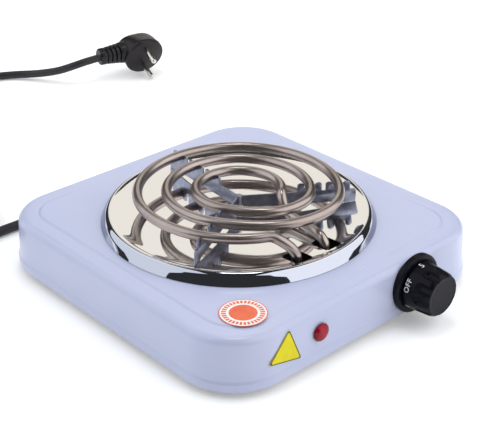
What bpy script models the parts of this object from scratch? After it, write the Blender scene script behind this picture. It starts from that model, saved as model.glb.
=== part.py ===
"""Single electric hot plate with a tubular spiral heating coil, modelled piece by piece.

The pieces of the appliance hang from `appliance`, an empty at the middle of the housing,
level with the hem. The cord, its coil and its plug lie on the surface that the appliance
stands on, so they are placed in world coordinates. Metres, +Z up, front of the appliance
towards -Y.
"""

import math

import bmesh
import bpy
from mathutils import Matrix, Vector

# Housing
HALF_WIDTH = 0.1150
HALF_DEPTH = 0.1184
HOUSING_HEIGHT = 0.0349
CORNER_RADIUS = 0.0364
EDGE_RADIUS = 0.0050
SHEET = 0.0008
DRAFT = 0.0011
HEM_HEIGHT = 0.0055
HEM_OUT = 0.0020
PANEL_INSET = 0.0146
PANEL_RISE = 0.0007
PANEL_TOP = HOUSING_HEIGHT + PANEL_RISE
OPENING_RADIUS = 0.0840
FOOT_HEIGHT = 0.0045
GAP = 0.0003

# Controls on the front wall, measured out from the wall plane
CONTROL_HEIGHT = 0.0187
KNOB_X = 0.0414
LAMP_X = -0.0433
LAMP_HEIGHT = 0.0192
KNOB_FRONT = 0.0245
BEZEL_RADIUS = 0.0199
BEZEL_FRONT = 0.0046
FLUTES = 10

# Burner, measured from its own centre
BURNER_X = -0.0014
BURNER_Y = -0.0012
DISH_BOTTOM = 0.0378
DISH_RISE = 0.0034
DISH_RADIUS = 0.0790
CREST_RISE = 0.0013
CREST_RADIUS = 0.0864
RIM_RADIUS = 0.0922
RING_RADII = (0.0671, 0.0479, 0.0287)
TUBE_RADIUS = 0.0034
TUBE_HEIGHT = 0.0553
COIL_START = -116.0
RING_CHANGE = (-50.0, -148.0)
LEG_ONE = (-0.0170, -0.0733)
LEG_TWO = (0.0095, -0.0715)
LEG_END = 0.0200
ARM_AZIMUTHS = (-35.0, 85.0, -152.0)
ARM_NOTCHES = (2, 3, 3)
ARM_BELLY = 0.0420
ARM_BACK = 0.0506
TOOTH_TOP = 0.0568
ARM_TIP = 0.0795
ARM_THICKNESS = 0.0010

# Base
BASE_TOP = 0.0022
FOOT_X = 0.0880
FOOT_Y = 0.0720
RAIL_TOP = 0.0035

CLAMP_Y = 0.0985

# Cord, in world coordinates
CORD_RADIUS = 0.0035
CORD_LOOP_CENTRE = (-0.1240, 0.2050)
CORD_LOOP_RADIUS = 0.0390
CORD_EXIT = (0.0200, 0.0165)
LEAD_ROUTE = [
    (0.0200, 0.1235, 0.0165),
    (0.0200, 0.1370, 0.0165),
    (0.0170, 0.1480, 0.0160),
    (0.0090, 0.1580, 0.0146),
    (-0.0030, 0.1650, 0.0118),
    (-0.0190, 0.1682, 0.0076),
    (-0.0380, 0.1660, 0.0042),
    (-0.0570, 0.1608, 0.0036),
    (-0.0770, 0.1590, 0.0036),
    (-0.1000, 0.1592, 0.0036),
]
RELIEF_STEPS = 8
PLUG_ROUTE = [
    (-0.1348, 0.2498, 0.0119),
    (-0.1100, 0.2746, 0.0080),
    (-0.0750, 0.3096, 0.0042),
    (-0.0400, 0.3446, 0.0036),
    (0.0000, 0.3846, 0.0036),
    (0.0287, 0.4133, 0.0036),
    (0.0520, 0.4230, 0.0036),
    (0.0753, 0.4133, 0.0038),
    (0.0920, 0.3930, 0.0066),
    (0.1020, 0.3740, 0.0122),
    (0.1110, 0.3620, 0.0178),
    (0.1220, 0.3558, 0.0212),
    (0.1337, 0.3531, 0.0223),
]
PLUG_FACE = (0.1736, 0.3338, 0.0184)
PLUG_CORD_WAY = (-0.961, 0.236, 0.0)
PLUG_PIN_WAY = (-0.195, -0.899, -0.391)
PLUG_RADIUS = 0.0190
PIN_RADIUS = 0.0024
PIN_LENGTH = 0.0190
PIN_SPACING = 0.0190

KNOB_REACH = HALF_DEPTH + KNOB_FRONT
HEM_REACH = HALF_DEPTH + HEM_OUT
HOUSING_Y = (KNOB_REACH - HEM_REACH) / 2


def clear_scene():
    for ob in list(bpy.data.objects):
        bpy.data.objects.remove(ob, do_unlink=True)


clear_scene()
PARTS = bpy.data.collections.new("hot_plate_burner")
CUTTERS = bpy.data.collections.new("cutters")
bpy.context.scene.collection.children.link(PARTS)
bpy.context.scene.collection.children.link(CUTTERS)


# Materials


def material(name, colour, roughness, metallic=0.0):
    mat = bpy.data.materials.new(name)
    mat.use_nodes = True
    shader = mat.node_tree.nodes["Principled BSDF"]
    shader.inputs["Base Color"].default_value = (*colour, 1.0)
    shader.inputs["Roughness"].default_value = roughness
    shader.inputs["Metallic"].default_value = metallic
    mat.diffuse_color = (*colour, 1.0)
    return mat


ENAMEL = material("white_enamel", (0.78, 0.80, 0.88), 0.30)
CHROME = material("chrome", (0.85, 0.85, 0.86), 0.05, 1.0)
ELEMENT = material("element_steel", (0.42, 0.38, 0.36), 0.32, 1.0)
GALVANISED = material("galvanised_steel", (0.55, 0.57, 0.62), 0.38, 1.0)
ZINC = material("zinc_steel", (0.62, 0.62, 0.60), 0.35, 1.0)
BRASS = material("brass", (0.75, 0.58, 0.28), 0.30, 1.0)
BLACK = material("black_plastic", (0.020, 0.020, 0.026), 0.35)
RED = material("red_lens", (0.42, 0.01, 0.02), 0.12)
CERAMIC = material("ceramic", (0.84, 0.81, 0.74), 0.60)
RUBBER = material("black_rubber", (0.03, 0.03, 0.03), 0.75)
LABEL_ROUND = material("orange_label", (0.85, 0.25, 0.14), 0.40)
LABEL_YELLOW = material("yellow_label", (0.80, 0.66, 0.02), 0.40)
CORD = material("cord_jacket", (0.045, 0.042, 0.050), 0.50)
TIE = material("cord_tie", (0.02, 0.02, 0.02), 0.50)
WIRE_BROWN = material("brown_wire", (0.20, 0.08, 0.04), 0.45)
WIRE_BLUE = material("blue_wire", (0.05, 0.12, 0.45), 0.45)
WIRE_GREEN = material("earth_wire", (0.25, 0.50, 0.08), 0.45)
NICKEL = material("nickel_pin", (0.72, 0.69, 0.64), 0.18, 1.0)


# Placing


def empty(name, location, rotation=(0.0, 0.0, 0.0), parent=None):
    ob = bpy.data.objects.new(name, None)
    ob.location = location
    ob.rotation_euler = rotation
    ob.parent = parent
    ob.empty_display_size = 0.01
    PARTS.objects.link(ob)
    return ob


UPRIGHT = (math.radians(90.0), 0.0, 0.0)
appliance = empty("appliance", (0.0, HOUSING_Y, FOOT_HEIGHT))
burner = empty("burner", (BURNER_X, BURNER_Y, 0.0), parent=appliance)
knob_axis = empty("knob_axis", (KNOB_X, -HALF_DEPTH, CONTROL_HEIGHT), UPRIGHT, appliance)
lamp_axis = empty("lamp_axis", (LAMP_X, -HALF_DEPTH, LAMP_HEIGHT), UPRIGHT, appliance)


def put(name, data, mat, parent=None, location=(0.0, 0.0, 0.0), rotation=(0.0, 0.0, 0.0)):
    """Makes one named sub-part from its mesh or curve."""
    ob = bpy.data.objects.new(name, data)
    data.materials.append(mat)
    ob.parent = parent
    ob.location = location
    ob.rotation_euler = rotation
    PARTS.objects.link(ob)
    return ob


def smooth(ob, angle=35.0):
    ob.data.shade_smooth()
    ob.data.set_sharp_from_angle(angle=math.radians(angle))
    return ob


def modifier(ob, kind, **settings):
    mod = ob.modifiers.new(kind.lower(), kind)
    for key, value in settings.items():
        setattr(mod, key, value)
    return mod


def mesh_of(name, bm):
    mesh = bpy.data.meshes.new(name)
    bm.to_mesh(mesh)
    bm.free()
    return mesh


# Shapes


def block(name, size, mat, parent, location, rotation=(0.0, 0.0, 0.0), bevel=0.0):
    bm = bmesh.new()
    bmesh.ops.create_cube(bm, size=1.0)
    bmesh.ops.scale(bm, vec=size, verts=bm.verts)
    ob = put(name, mesh_of(name, bm), mat, parent, location, rotation)
    if bevel:
        modifier(ob, "BEVEL", width=bevel, segments=1)
    return ob


def profile_mesh(name, points, closed):
    """A chain of edges in the XZ plane, to be turned about Z."""
    edges = [(i, i + 1) for i in range(len(points) - 1)]
    if closed:
        edges.append((len(points) - 1, 0))
    mesh = bpy.data.meshes.new(name)
    mesh.from_pydata([(r, 0.0, z) for r, z in points], edges, [])
    return mesh


def turned(name, points, mat, parent, location=(0.0, 0.0, 0.0), rotation=(0.0, 0.0, 0.0),
           closed=False, steps=32):
    """A turned solid. Its profile runs down its outer side, then up its inner side."""
    ob = put(name, profile_mesh(name, points, closed), mat, parent, location, rotation)
    modifier(ob, "SCREW", angle=math.tau, steps=steps, render_steps=steps, axis="Z",
             use_merge_vertices=True, merge_threshold=0.00001, use_smooth_shade=True)
    return ob


def rod(name, radius, low, high, mat, parent, location=(0.0, 0.0, 0.0), rotation=(0.0, 0.0, 0.0),
        steps=16):
    profile = [(0.0, high), (radius, high), (radius, low), (0.0, low)]
    return turned(name, profile, mat, parent, location, rotation, steps=steps)


def ring(name, inner, outer, low, high, mat, parent, location=(0.0, 0.0, 0.0),
         rotation=(0.0, 0.0, 0.0), steps=24):
    profile = [(inner, high), (outer, high), (outer, low), (inner, low)]
    return turned(name, profile, mat, parent, location, rotation, closed=True, steps=steps)


def curve_data(name, dimensions):
    data = bpy.data.curves.new(name, "CURVE")
    data.dimensions = dimensions
    return data


def add_spline(data, points, cyclic, radii=None):
    spline = data.splines.new("POLY")
    spline.points.add(len(points) - 1)
    for i, point in enumerate(points):
        spline.points[i].co = (*point, 1.0) if len(point) == 3 else (*point, 0.0, 1.0)
        if radii:
            spline.points[i].radius = radii[i]
    spline.use_cyclic_u = cyclic


def tube(name, points, radius, mat, parent=None, radii=None, resolution=2):
    data = curve_data(name, "3D")
    data.bevel_depth = radius
    data.bevel_resolution = resolution
    data.use_fill_caps = True
    add_spline(data, points, False, radii)
    return put(name, data, mat, parent)


def flat(name, outlines, thickness, mat, parent, location=(0.0, 0.0, 0.0),
         rotation=(0.0, 0.0, 0.0)):
    """A flat sheet: its first outline is the edge, and the others are holes."""
    data = curve_data(name, "2D")
    data.fill_mode = "BOTH"
    data.extrude = thickness / 2
    for outline in outlines:
        add_spline(data, outline, True)
    return put(name, data, mat, parent, location, rotation)


def to_mesh(ob):
    """Turns a curve into a mesh object of the same name and place, ready to be cut."""
    bpy.context.view_layer.update()
    graph = bpy.context.evaluated_depsgraph_get()
    mesh = bpy.data.meshes.new_from_object(ob.evaluated_get(graph))
    bm = bmesh.new()
    bm.from_mesh(mesh)
    bmesh.ops.remove_doubles(bm, verts=bm.verts, dist=0.00001)
    bm.to_mesh(mesh)
    bm.free()
    name, place = ob.name, ob.matrix_world.copy()
    bpy.data.objects.remove(ob, do_unlink=True)
    made = bpy.data.objects.new(name, mesh)
    made.matrix_world = place
    PARTS.objects.link(made)
    return made


def cutter(name, parent, shapes):
    """One hidden object of separate closed shapes. A shape is a function that adds to a bmesh."""
    bm = bmesh.new()
    for shape in shapes:
        shape(bm)
    ob = bpy.data.objects.new(name, mesh_of(name, bm))
    ob.parent = parent
    ob.hide_render = True
    ob.display_type = "WIRE"
    CUTTERS.objects.link(ob)
    return ob


def drill(radius, centre, axis, length, sides=20):
    """A round cutter along an axis."""
    def add(bm):
        turn = Vector((0.0, 0.0, 1.0)).rotation_difference(Vector(axis)).to_matrix().to_4x4()
        bmesh.ops.create_cone(bm, cap_ends=True, segments=sides, radius1=radius, radius2=radius,
                              depth=length, matrix=Matrix.Translation(centre) @ turn)
    return add


def box_cut(size, centre):
    """A box-shaped cutter."""
    def add(bm):
        made = bmesh.ops.create_cube(bm, size=1.0)
        bmesh.ops.scale(bm, vec=size, verts=made["verts"])
        bmesh.ops.translate(bm, vec=centre, verts=made["verts"])
    return add


def boolean(ob, other, operation="DIFFERENCE"):
    return modifier(ob, "BOOLEAN", object=other, operation=operation, solver="EXACT")


def circle(radius, centre=(0.0, 0.0), sides=24):
    cx, cy = centre
    turn = math.tau / sides
    return [(cx + radius * math.cos(i * turn), cy + radius * math.sin(i * turn))
            for i in range(sides)]


def rounded_rectangle(half_x, half_y, radius, per_corner=7, per_side=4):
    """Points of a rounded rectangle, counter-clockwise from the right side's lower end."""
    points = []
    corners = [(1, 1, 0.0), (-1, 1, 90.0), (-1, -1, 180.0), (1, -1, 270.0)]
    for sx, sy, start in corners:
        cx, cy = sx * (half_x - radius), sy * (half_y - radius)
        for k in range(per_corner + 1):
            a = math.radians(start + 90.0 * k / per_corner)
            points.append((cx + radius * math.cos(a), cy + radius * math.sin(a)))
    full = []
    for i, point in enumerate(points):
        full.append(point)
        if i % (per_corner + 1) == per_corner:
            after = points[(i + 1) % len(points)]
            for k in range(1, per_side):
                t = k / per_side
                full.append((point[0] + t * (after[0] - point[0]),
                             point[1] + t * (after[1] - point[1])))
    return full


def slot_outline(centre, length, width, sides=6):
    """A slot with round ends, lying along X."""
    cx, cy = centre
    r, half = width / 2, length / 2 - width / 2
    points = []
    for side, start in ((1, -90.0), (-1, 90.0)):
        for k in range(sides + 1):
            a = math.radians(start + 180.0 * k / sides)
            points.append((cx + side * half + r * math.cos(a), cy + r * math.sin(a)))
    return points


def loft(rings):
    """An open skin through rings of equal point counts."""
    bm = bmesh.new()
    rows = [[bm.verts.new(p) for p in points] for points in rings]
    for low, high in zip(rows, rows[1:]):
        for i in range(len(low)):
            j = (i + 1) % len(low)
            bm.faces.new((low[i], low[j], high[j], high[i]))
    return bm


def smooth_path(points, step):
    """Points about a step apart on a Catmull-Rom curve through the route's own points."""
    pts = [Vector(p) for p in points]
    pts = [2 * pts[0] - pts[1]] + pts + [2 * pts[-1] - pts[-2]]
    path = []
    for a, b, c, d in zip(pts, pts[1:], pts[2:], pts[3:]):
        pieces = max(1, round((c - b).length / step))
        for k in range(pieces):
            t = k / pieces
            path.append(0.5 * (2 * b + (c - a) * t + (2 * a - 5 * b + 4 * c - d) * t * t
                               + (3 * b - a - 3 * c + d) * t ** 3))
    path.append(pts[-2])
    return [tuple(p) for p in path]


# Housing


def housing_ring(out, z, radius_change=0.0):
    points = rounded_rectangle(HALF_WIDTH + out, HALF_DEPTH + out,
                               CORNER_RADIUS + out + radius_change)
    return [(x, y, z) for x, y in points]


def opening_ring(radius, z):
    points = rounded_rectangle(HALF_WIDTH, HALF_DEPTH, CORNER_RADIUS)
    ring_points = []
    for x, y in points:
        a = math.atan2(y, x)
        ring_points.append((BURNER_X + radius * math.cos(a),
                            BURNER_Y + radius * math.sin(a), z))
    return ring_points


def make_housing():
    edge_low = HOUSING_HEIGHT - EDGE_RADIUS
    rings = [housing_ring(HEM_OUT, 0.0), housing_ring(HEM_OUT, HEM_HEIGHT),
             housing_ring(DRAFT, HEM_HEIGHT + 0.0017), housing_ring(0.0, edge_low)]
    for k in range(1, 5):
        a = math.radians(90.0 * k / 4)
        rings.append(housing_ring(-EDGE_RADIUS * (1 - math.cos(a)),
                                  edge_low + EDGE_RADIUS * math.sin(a)))
    rings.append(housing_ring(-PANEL_INSET + 0.0006, HOUSING_HEIGHT))
    rings.append(housing_ring(-PANEL_INSET - 0.0006, PANEL_TOP))
    rings.append(opening_ring(RIM_RADIUS + 0.003, PANEL_TOP))
    rings.append(opening_ring(OPENING_RADIUS, PANEL_TOP))
    shell = put("housing_shell", mesh_of("housing_shell", loft(rings)), ENAMEL, appliance)
    modifier(shell, "SOLIDIFY", thickness=SHEET, offset=-1.0, use_even_offset=True)
    holes = cutter("housing_holes", appliance, [
        drill(0.0052, (KNOB_X, -HALF_DEPTH, CONTROL_HEIGHT), (0, 1, 0), 0.010),
        drill(0.0047, (LAMP_X, -HALF_DEPTH, LAMP_HEIGHT), (0, 1, 0), 0.010),
        drill(0.0061, (CORD_EXIT[0], HALF_DEPTH, CORD_EXIT[1] - FOOT_HEIGHT), (0, 1, 0), 0.010),
    ])
    boolean(shell, holes)
    smooth(shell)


def make_base():
    outline = rounded_rectangle(HALF_WIDTH + 0.0006, HALF_DEPTH + 0.0006, CORNER_RADIUS, 6, 1)
    outlines = [outline]
    for sx in (-1, 1):
        for sy in (-1, 1):
            outlines.append(circle(0.0026, (sx * FOOT_X, sy * FOOT_Y), 12))
    outlines.append(circle(0.0019, (CORD_EXIT[0] + 0.0115, CLAMP_Y), 12))
    for row in (-1, 1):
        for k in range(5):
            outlines.append(slot_outline((0.0, row * (0.030 + 0.009 * k)), 0.050, 0.0040, 4))
    flat("base_plate", outlines, 0.0010, ZINC, appliance, (0.0, 0.0, BASE_TOP - 0.0005))

    for side, name in ((-1, "left_rail"), (1, "right_rail")):
        wall = side * (HALF_WIDTH - SHEET - 0.0008)
        inner = side * 0.0800
        leg = side * 0.0010
        low = BASE_TOP + GAP
        outline = [(inner, low), (wall, low), (wall, 0.0180), (wall - leg, 0.0180),
                   (wall - leg, RAIL_TOP), (inner, RAIL_TOP)]
        if side < 0:
            outline.reverse()
        rail = to_mesh(flat(name, [outline], 2 * FOOT_Y + 0.018, ZINC, appliance,
                            rotation=UPRIGHT))
        holes = cutter(name + "_holes", appliance, [
            drill(0.0026, (side * FOOT_X, sy * FOOT_Y, RAIL_TOP), (0, 0, 1), 0.010, 12)
            for sy in (-1, 1)])
        boolean(rail, holes)

    foot_profile = [(0.0026, 0.0009), (0.0076, 0.0009), (0.0080, 0.0004), (0.0072, -0.0045),
                    (0.0048, -0.0045), (0.0048, -0.0020), (0.0026, -0.0020)]
    screw_profile = [(0.0, 0.0085), (0.0018, 0.0085), (0.0021, 0.0080), (0.0021, -0.0023),
                     (0.0041, -0.0023), (0.0041, -0.0034), (0.0028, -0.0042), (0.0, -0.0042)]
    places = [(-1, -1, "front_left"), (1, -1, "front_right"), (-1, 1, "rear_left"),
              (1, 1, "rear_right")]
    for sx, sy, where in places:
        spot = (sx * FOOT_X, sy * FOOT_Y, 0.0)
        turned("foot_" + where, foot_profile, RUBBER, appliance, spot, closed=True, steps=20)
        turned("foot_screw_" + where, screw_profile, ZINC, appliance, spot, steps=12)


# Burner


def dish_height(radius):
    past = max(radius - DISH_RADIUS, 0.0) / (CREST_RADIUS - DISH_RADIUS)
    return DISH_BOTTOM + DISH_RISE * (radius / DISH_RADIUS) ** 2 + CREST_RISE * past ** 2


def make_bowl():
    crest = dish_height(CREST_RADIUS)
    profile = [(RIM_RADIUS, PANEL_TOP + GAP), (RIM_RADIUS - 0.0010, 0.0378),
               (RIM_RADIUS - 0.0022, 0.0399), (RIM_RADIUS - 0.0036, 0.0418),
               (RIM_RADIUS - 0.0047, 0.0427), (CREST_RADIUS, crest)]
    for radius in (0.084, 0.081, 0.076, 0.068, 0.055, 0.038, 0.020, 0.0024):
        profile.append((radius, dish_height(radius)))
    profile.reverse()
    bowl = turned("drip_bowl", profile, CHROME, burner, steps=48)
    modifier(bowl, "SOLIDIFY", thickness=0.0006, offset=-1.0, use_even_offset=True)
    boolean(bowl, cutter("bowl_leg_holes", burner, [
        box_cut((0.0140, 0.0160, 0.020), (-0.0164, -0.0722, 0.038)),
        box_cut((0.0140, 0.0160, 0.020), (0.0092, -0.0724, 0.038)),
    ]))

    # A strap under the panel, sunk in the middle for the screw that pulls the bowl down
    reach, thick, shelf = 0.0870, 0.0012, PANEL_TOP - SHEET - 0.0005
    top = [(-reach, shelf), (-0.0500, shelf), (-0.0400, shelf - 0.0030), (0.0400, shelf - 0.0030),
           (0.0500, shelf), (reach, shelf)]
    outline = top + [(x, z - thick) for x, z in reversed(top)]
    outline.reverse()
    strap = to_mesh(flat("bowl_strap", [outline], 0.012, ZINC, burner, rotation=UPRIGHT))
    boolean(strap, cutter("strap_hole", burner, [
        drill(0.0024, (0.0, 0.0, DISH_BOTTOM), (0, 0, 1), 0.030, 12)]))
    head = DISH_BOTTOM + GAP
    turned("bowl_screw", [(0.0, head + 0.0020), (0.0026, head + 0.0020), (0.0040, head + 0.0009),
                          (0.0040, head), (0.0019, head), (0.0019, 0.0256), (0.0, 0.0256)],
           ZINC, burner, steps=16)
    nut_top = shelf - 0.0030 - thick - GAP
    ring("bowl_nut", 0.0025, 0.0038, nut_top - 0.0024, nut_top, ZINC, burner, steps=6)


def ring_radius(turns):
    """The spiral's radius after so many turns: round rings, joined by smooth changes."""
    change_at = [((COIL_START - a) % 360.0) / 360.0 for a in RING_CHANGE]
    start, length = change_at[0], (RING_CHANGE[0] - RING_CHANGE[1]) / 360.0
    radius = RING_RADII[0]
    for k in range(1, len(RING_RADII)):
        t = min(max((turns - (start + k - 1)) / length, 0.0), 1.0)
        radius += (RING_RADII[k] - RING_RADII[k - 1]) * t * t * (3 - 2 * t)
    return radius


def coil_path():
    leg_one = [(*LEG_ONE, LEG_END), (-0.0171, -0.0733, 0.0350), (-0.0176, -0.0731, 0.0405),
               (-0.0188, -0.0725, 0.0450), (-0.0212, -0.0704, 0.0492), (-0.0244, -0.0663, 0.0526),
               (-0.0268, -0.0627, 0.0545)]
    last_turn = ((COIL_START - RING_CHANGE[0]) % 360.0 + 720.0) / 360.0
    count = 120
    spiral = []
    for k in range(count + 1):
        turns = last_turn * k / count
        a = math.radians(COIL_START - 360.0 * turns)
        r = ring_radius(turns)
        spiral.append((r * math.cos(a), r * math.sin(a), TUBE_HEIGHT))
    leg_two = [(0.0156, -0.0252, 0.0536), (0.0145, -0.0284, 0.0499), (0.0142, -0.0318, 0.0466),
               (0.0138, -0.0380, 0.0444), (0.0124, -0.0500, 0.0440), (0.0108, -0.0620, 0.0440),
               (0.0100, -0.0675, 0.0426), (0.0096, -0.0707, 0.0390), (*LEG_TWO, 0.0340),
               (*LEG_TWO, LEG_END)]
    return leg_one + spiral + leg_two


def arm_outline(azimuth, notches):
    """A support arm seen from its side: X runs out along the arm and Y up."""
    start = 0.0030
    notch = TUBE_RADIUS + 0.0004
    tooth = 0.0044
    seat = TUBE_HEIGHT - TUBE_RADIUS - 0.0004
    outline = [(start, ARM_BELLY), (0.0690, ARM_BELLY)]
    for r in (0.0720, 0.0755, ARM_TIP):
        outline.append((r, dish_height(r) + 0.0004))
    outline += [(ARM_TIP, ARM_BACK - 0.0010), (ARM_TIP - 0.0010, ARM_BACK)]
    for k in range(notches):
        radius = ring_radius(((COIL_START - azimuth) % 360.0) / 360.0 + k)
        outline += [(radius + notch + tooth, ARM_BACK), (radius + notch + tooth, TOOTH_TOP - 0.0012),
                    (radius + notch + tooth - 0.0012, TOOTH_TOP), (radius + notch, TOOTH_TOP),
                    (radius + notch, seat), (radius - notch, seat), (radius - notch, TOOTH_TOP),
                    (radius - notch - tooth + 0.0012, TOOTH_TOP),
                    (radius - notch - tooth, TOOTH_TOP - 0.0012),
                    (radius - notch - tooth, ARM_BACK)]
    outline.append((start, ARM_BACK))
    return outline


def make_element():
    tube("heating_coil", coil_path(), TUBE_RADIUS, ELEMENT, burner)
    names = ("support_arm_right", "support_arm_rear", "support_arm_front")
    for name, azimuth, notches in zip(names, ARM_AZIMUTHS, ARM_NOTCHES):
        flat(name, [arm_outline(azimuth, notches)], ARM_THICKNESS, GALVANISED, burner,
             rotation=(math.radians(90.0), 0.0, math.radians(azimuth)))
    ring("support_hub", 0.0012, 0.0024, ARM_BELLY - 0.0005, ARM_BACK + 0.0005, GALVANISED, burner, steps=12)
    for name, (x, y) in (("one", LEG_ONE), ("two", LEG_TWO)):
        spot = (x, y, 0.0)
        rod("terminal_seal_" + name, 0.0031, LEG_END - 0.0033, LEG_END - GAP, CERAMIC, burner, spot)
        rod("terminal_pin_" + name, 0.0012, 0.0080, LEG_END - 0.0036, ZINC, burner, spot, steps=12)


# Controls


def wall_cutter():
    """The front wall with its hem, a little outgrown, to shape the back of the bezel."""
    low = -CONTROL_HEIGHT
    hem_top = low + HEM_HEIGHT + 0.0017
    outline = [(-0.0030, low - 0.0030), (HEM_OUT + GAP, low - 0.0030),
               (HEM_OUT + GAP, low + HEM_HEIGHT + 0.0003), (DRAFT + GAP, hem_top + 0.0003),
               (GAP, low + HOUSING_HEIGHT - EDGE_RADIUS), (GAP, 0.0240), (-0.0030, 0.0240)]
    bm = bmesh.new()
    rows = [[bm.verts.new((x, up, out)) for out, up in outline] for x in (-0.024, 0.024)]
    bm.faces.new(rows[0])
    bm.faces.new(list(reversed(rows[1])))
    for i in range(len(outline)):
        j = (i + 1) % len(outline)
        bm.faces.new((rows[0][i], rows[1][i], rows[1][j], rows[0][j]))
    bmesh.ops.recalc_face_normals(bm, faces=bm.faces)
    ob = bpy.data.objects.new("wall_shape", mesh_of("wall_shape", bm))
    ob.parent = knob_axis
    ob.hide_render = True
    ob.display_type = "WIRE"
    CUTTERS.objects.link(ob)
    return ob


def make_knob():
    base, back, top = 0.0049, 0.0082, KNOB_FRONT
    profile = [(0.0, top), (0.0131, top), (0.0140, top - 0.0010), (0.0148, top - 0.0030),
               (0.0153, 0.0140), (0.0160, 0.0060), (0.0158, base), (0.0094, base), (0.0094, back),
               (0.0032, back), (0.0032, 0.0190), (0.0, 0.0190)]
    knob = turned("knob", profile, BLACK, knob_axis, steps=40)

    def flute(k):
        a = math.radians(4.0 + 360.0 * k / FLUTES)
        centre = (0.0164 * math.cos(a), 0.0164 * math.sin(a), 0.0202)
        return drill(0.0028, centre, (0, 0, 1), 0.0150, 8)

    boolean(knob, cutter("knob_flutes", knob_axis, [flute(k) for k in range(FLUTES)]))
    profile = [(0.0050, BEZEL_FRONT), (BEZEL_RADIUS - 0.0008, BEZEL_FRONT),
               (BEZEL_RADIUS, BEZEL_FRONT - 0.0008), (BEZEL_RADIUS, -0.0010), (0.0050, -0.0010)]
    bezel = turned("knob_bezel", profile, BLACK, knob_axis, closed=True, steps=40)
    boolean(bezel, wall_cutter())
    ring("bush_nut", 0.0057, 0.0084, BEZEL_FRONT + GAP, 0.0074, ZINC, knob_axis, steps=6)
    ring("thermostat_bush", 0.0033, 0.0046, -0.0090, 0.0078, BRASS, knob_axis)
    spindle = [(0.0, 0.0187), (0.0030, 0.0187), (0.0030, -0.0120), (0.0018, -0.0120),
               (0.0018, -0.0082), (0.0, -0.0082)]
    turned("control_spindle", spindle, ZINC, knob_axis, steps=20)
    rod("adjuster_pin", 0.0014, -0.0175, -0.0099, CERAMIC, knob_axis, steps=12)


def make_thermostat():
    plate = rounded_rectangle(0.0215, 0.0110, 0.0030, 3, 1)
    plate = [(x + 0.0075, y) for x, y in plate]
    flat("thermostat_bracket", [plate, circle(0.0050, sides=20)], 0.0010, ZINC, knob_axis,
         (0.0, 0.0, -0.0017))
    block("ceramic_stack", (0.0120, 0.0120, 0.0220), CERAMIC, knob_axis, (0.0220, 0.0, -0.0138),
          bevel=0.0006)
    leaves = [("contact_leaf", 0.0005, -0.0011, 0.0060, -0.01805),
              ("fixed_leaf", 0.0008, -0.0015, 0.0070, -0.0191),
              ("bimetal_blade", 0.0012, -0.0025, 0.0080, -0.0236)]
    for name, thick, shift, tall, out in leaves:
        mat = BRASS if name != "bimetal_blade" else GALVANISED
        low, high = -0.0110 + shift, 0.0156
        block(name, (high - low, tall, thick), mat, knob_axis, ((low + high) / 2, 0.0, out))


def make_lamp():
    lens = [(0.0, 0.0036), (0.0030, 0.0035), (0.0050, 0.0031), (0.0058, 0.0024),
            (0.0060, 0.0012), (0.0043, 0.0012), (0.0043, -0.0060), (0.0, -0.0060)]
    turned("indicator_lens", lens, RED, lamp_axis, steps=28)
    ring("lamp_clip", 0.0046, 0.0072, -0.0022, -0.0012, ZINC, lamp_axis)
    rod("lamp_body", 0.0043, -0.0180, -0.0063, CERAMIC, lamp_axis)


def make_labels():
    flat("round_label", [circle(0.0145, sides=36)], 0.0002, LABEL_ROUND, appliance,
         (-0.0805, -0.0920, PANEL_TOP + 0.0004))
    rise = HOUSING_HEIGHT - EDGE_RADIUS - HEM_HEIGHT - 0.0017
    lean = math.atan2(DRAFT, rise)
    triangle = [(-0.0689, 0.0133), (-0.0858, -0.0045), (-0.0595, -0.0105)]
    flat("triangle_label", [triangle], 0.0002, LABEL_YELLOW, appliance,
         (0.0, -HALF_DEPTH - 0.5 * DRAFT - 0.0004, 0.0190), (math.radians(90.0) - lean, 0.0, 0.0))


# Wiring inside the housing, in the appliance's own coordinates


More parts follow.
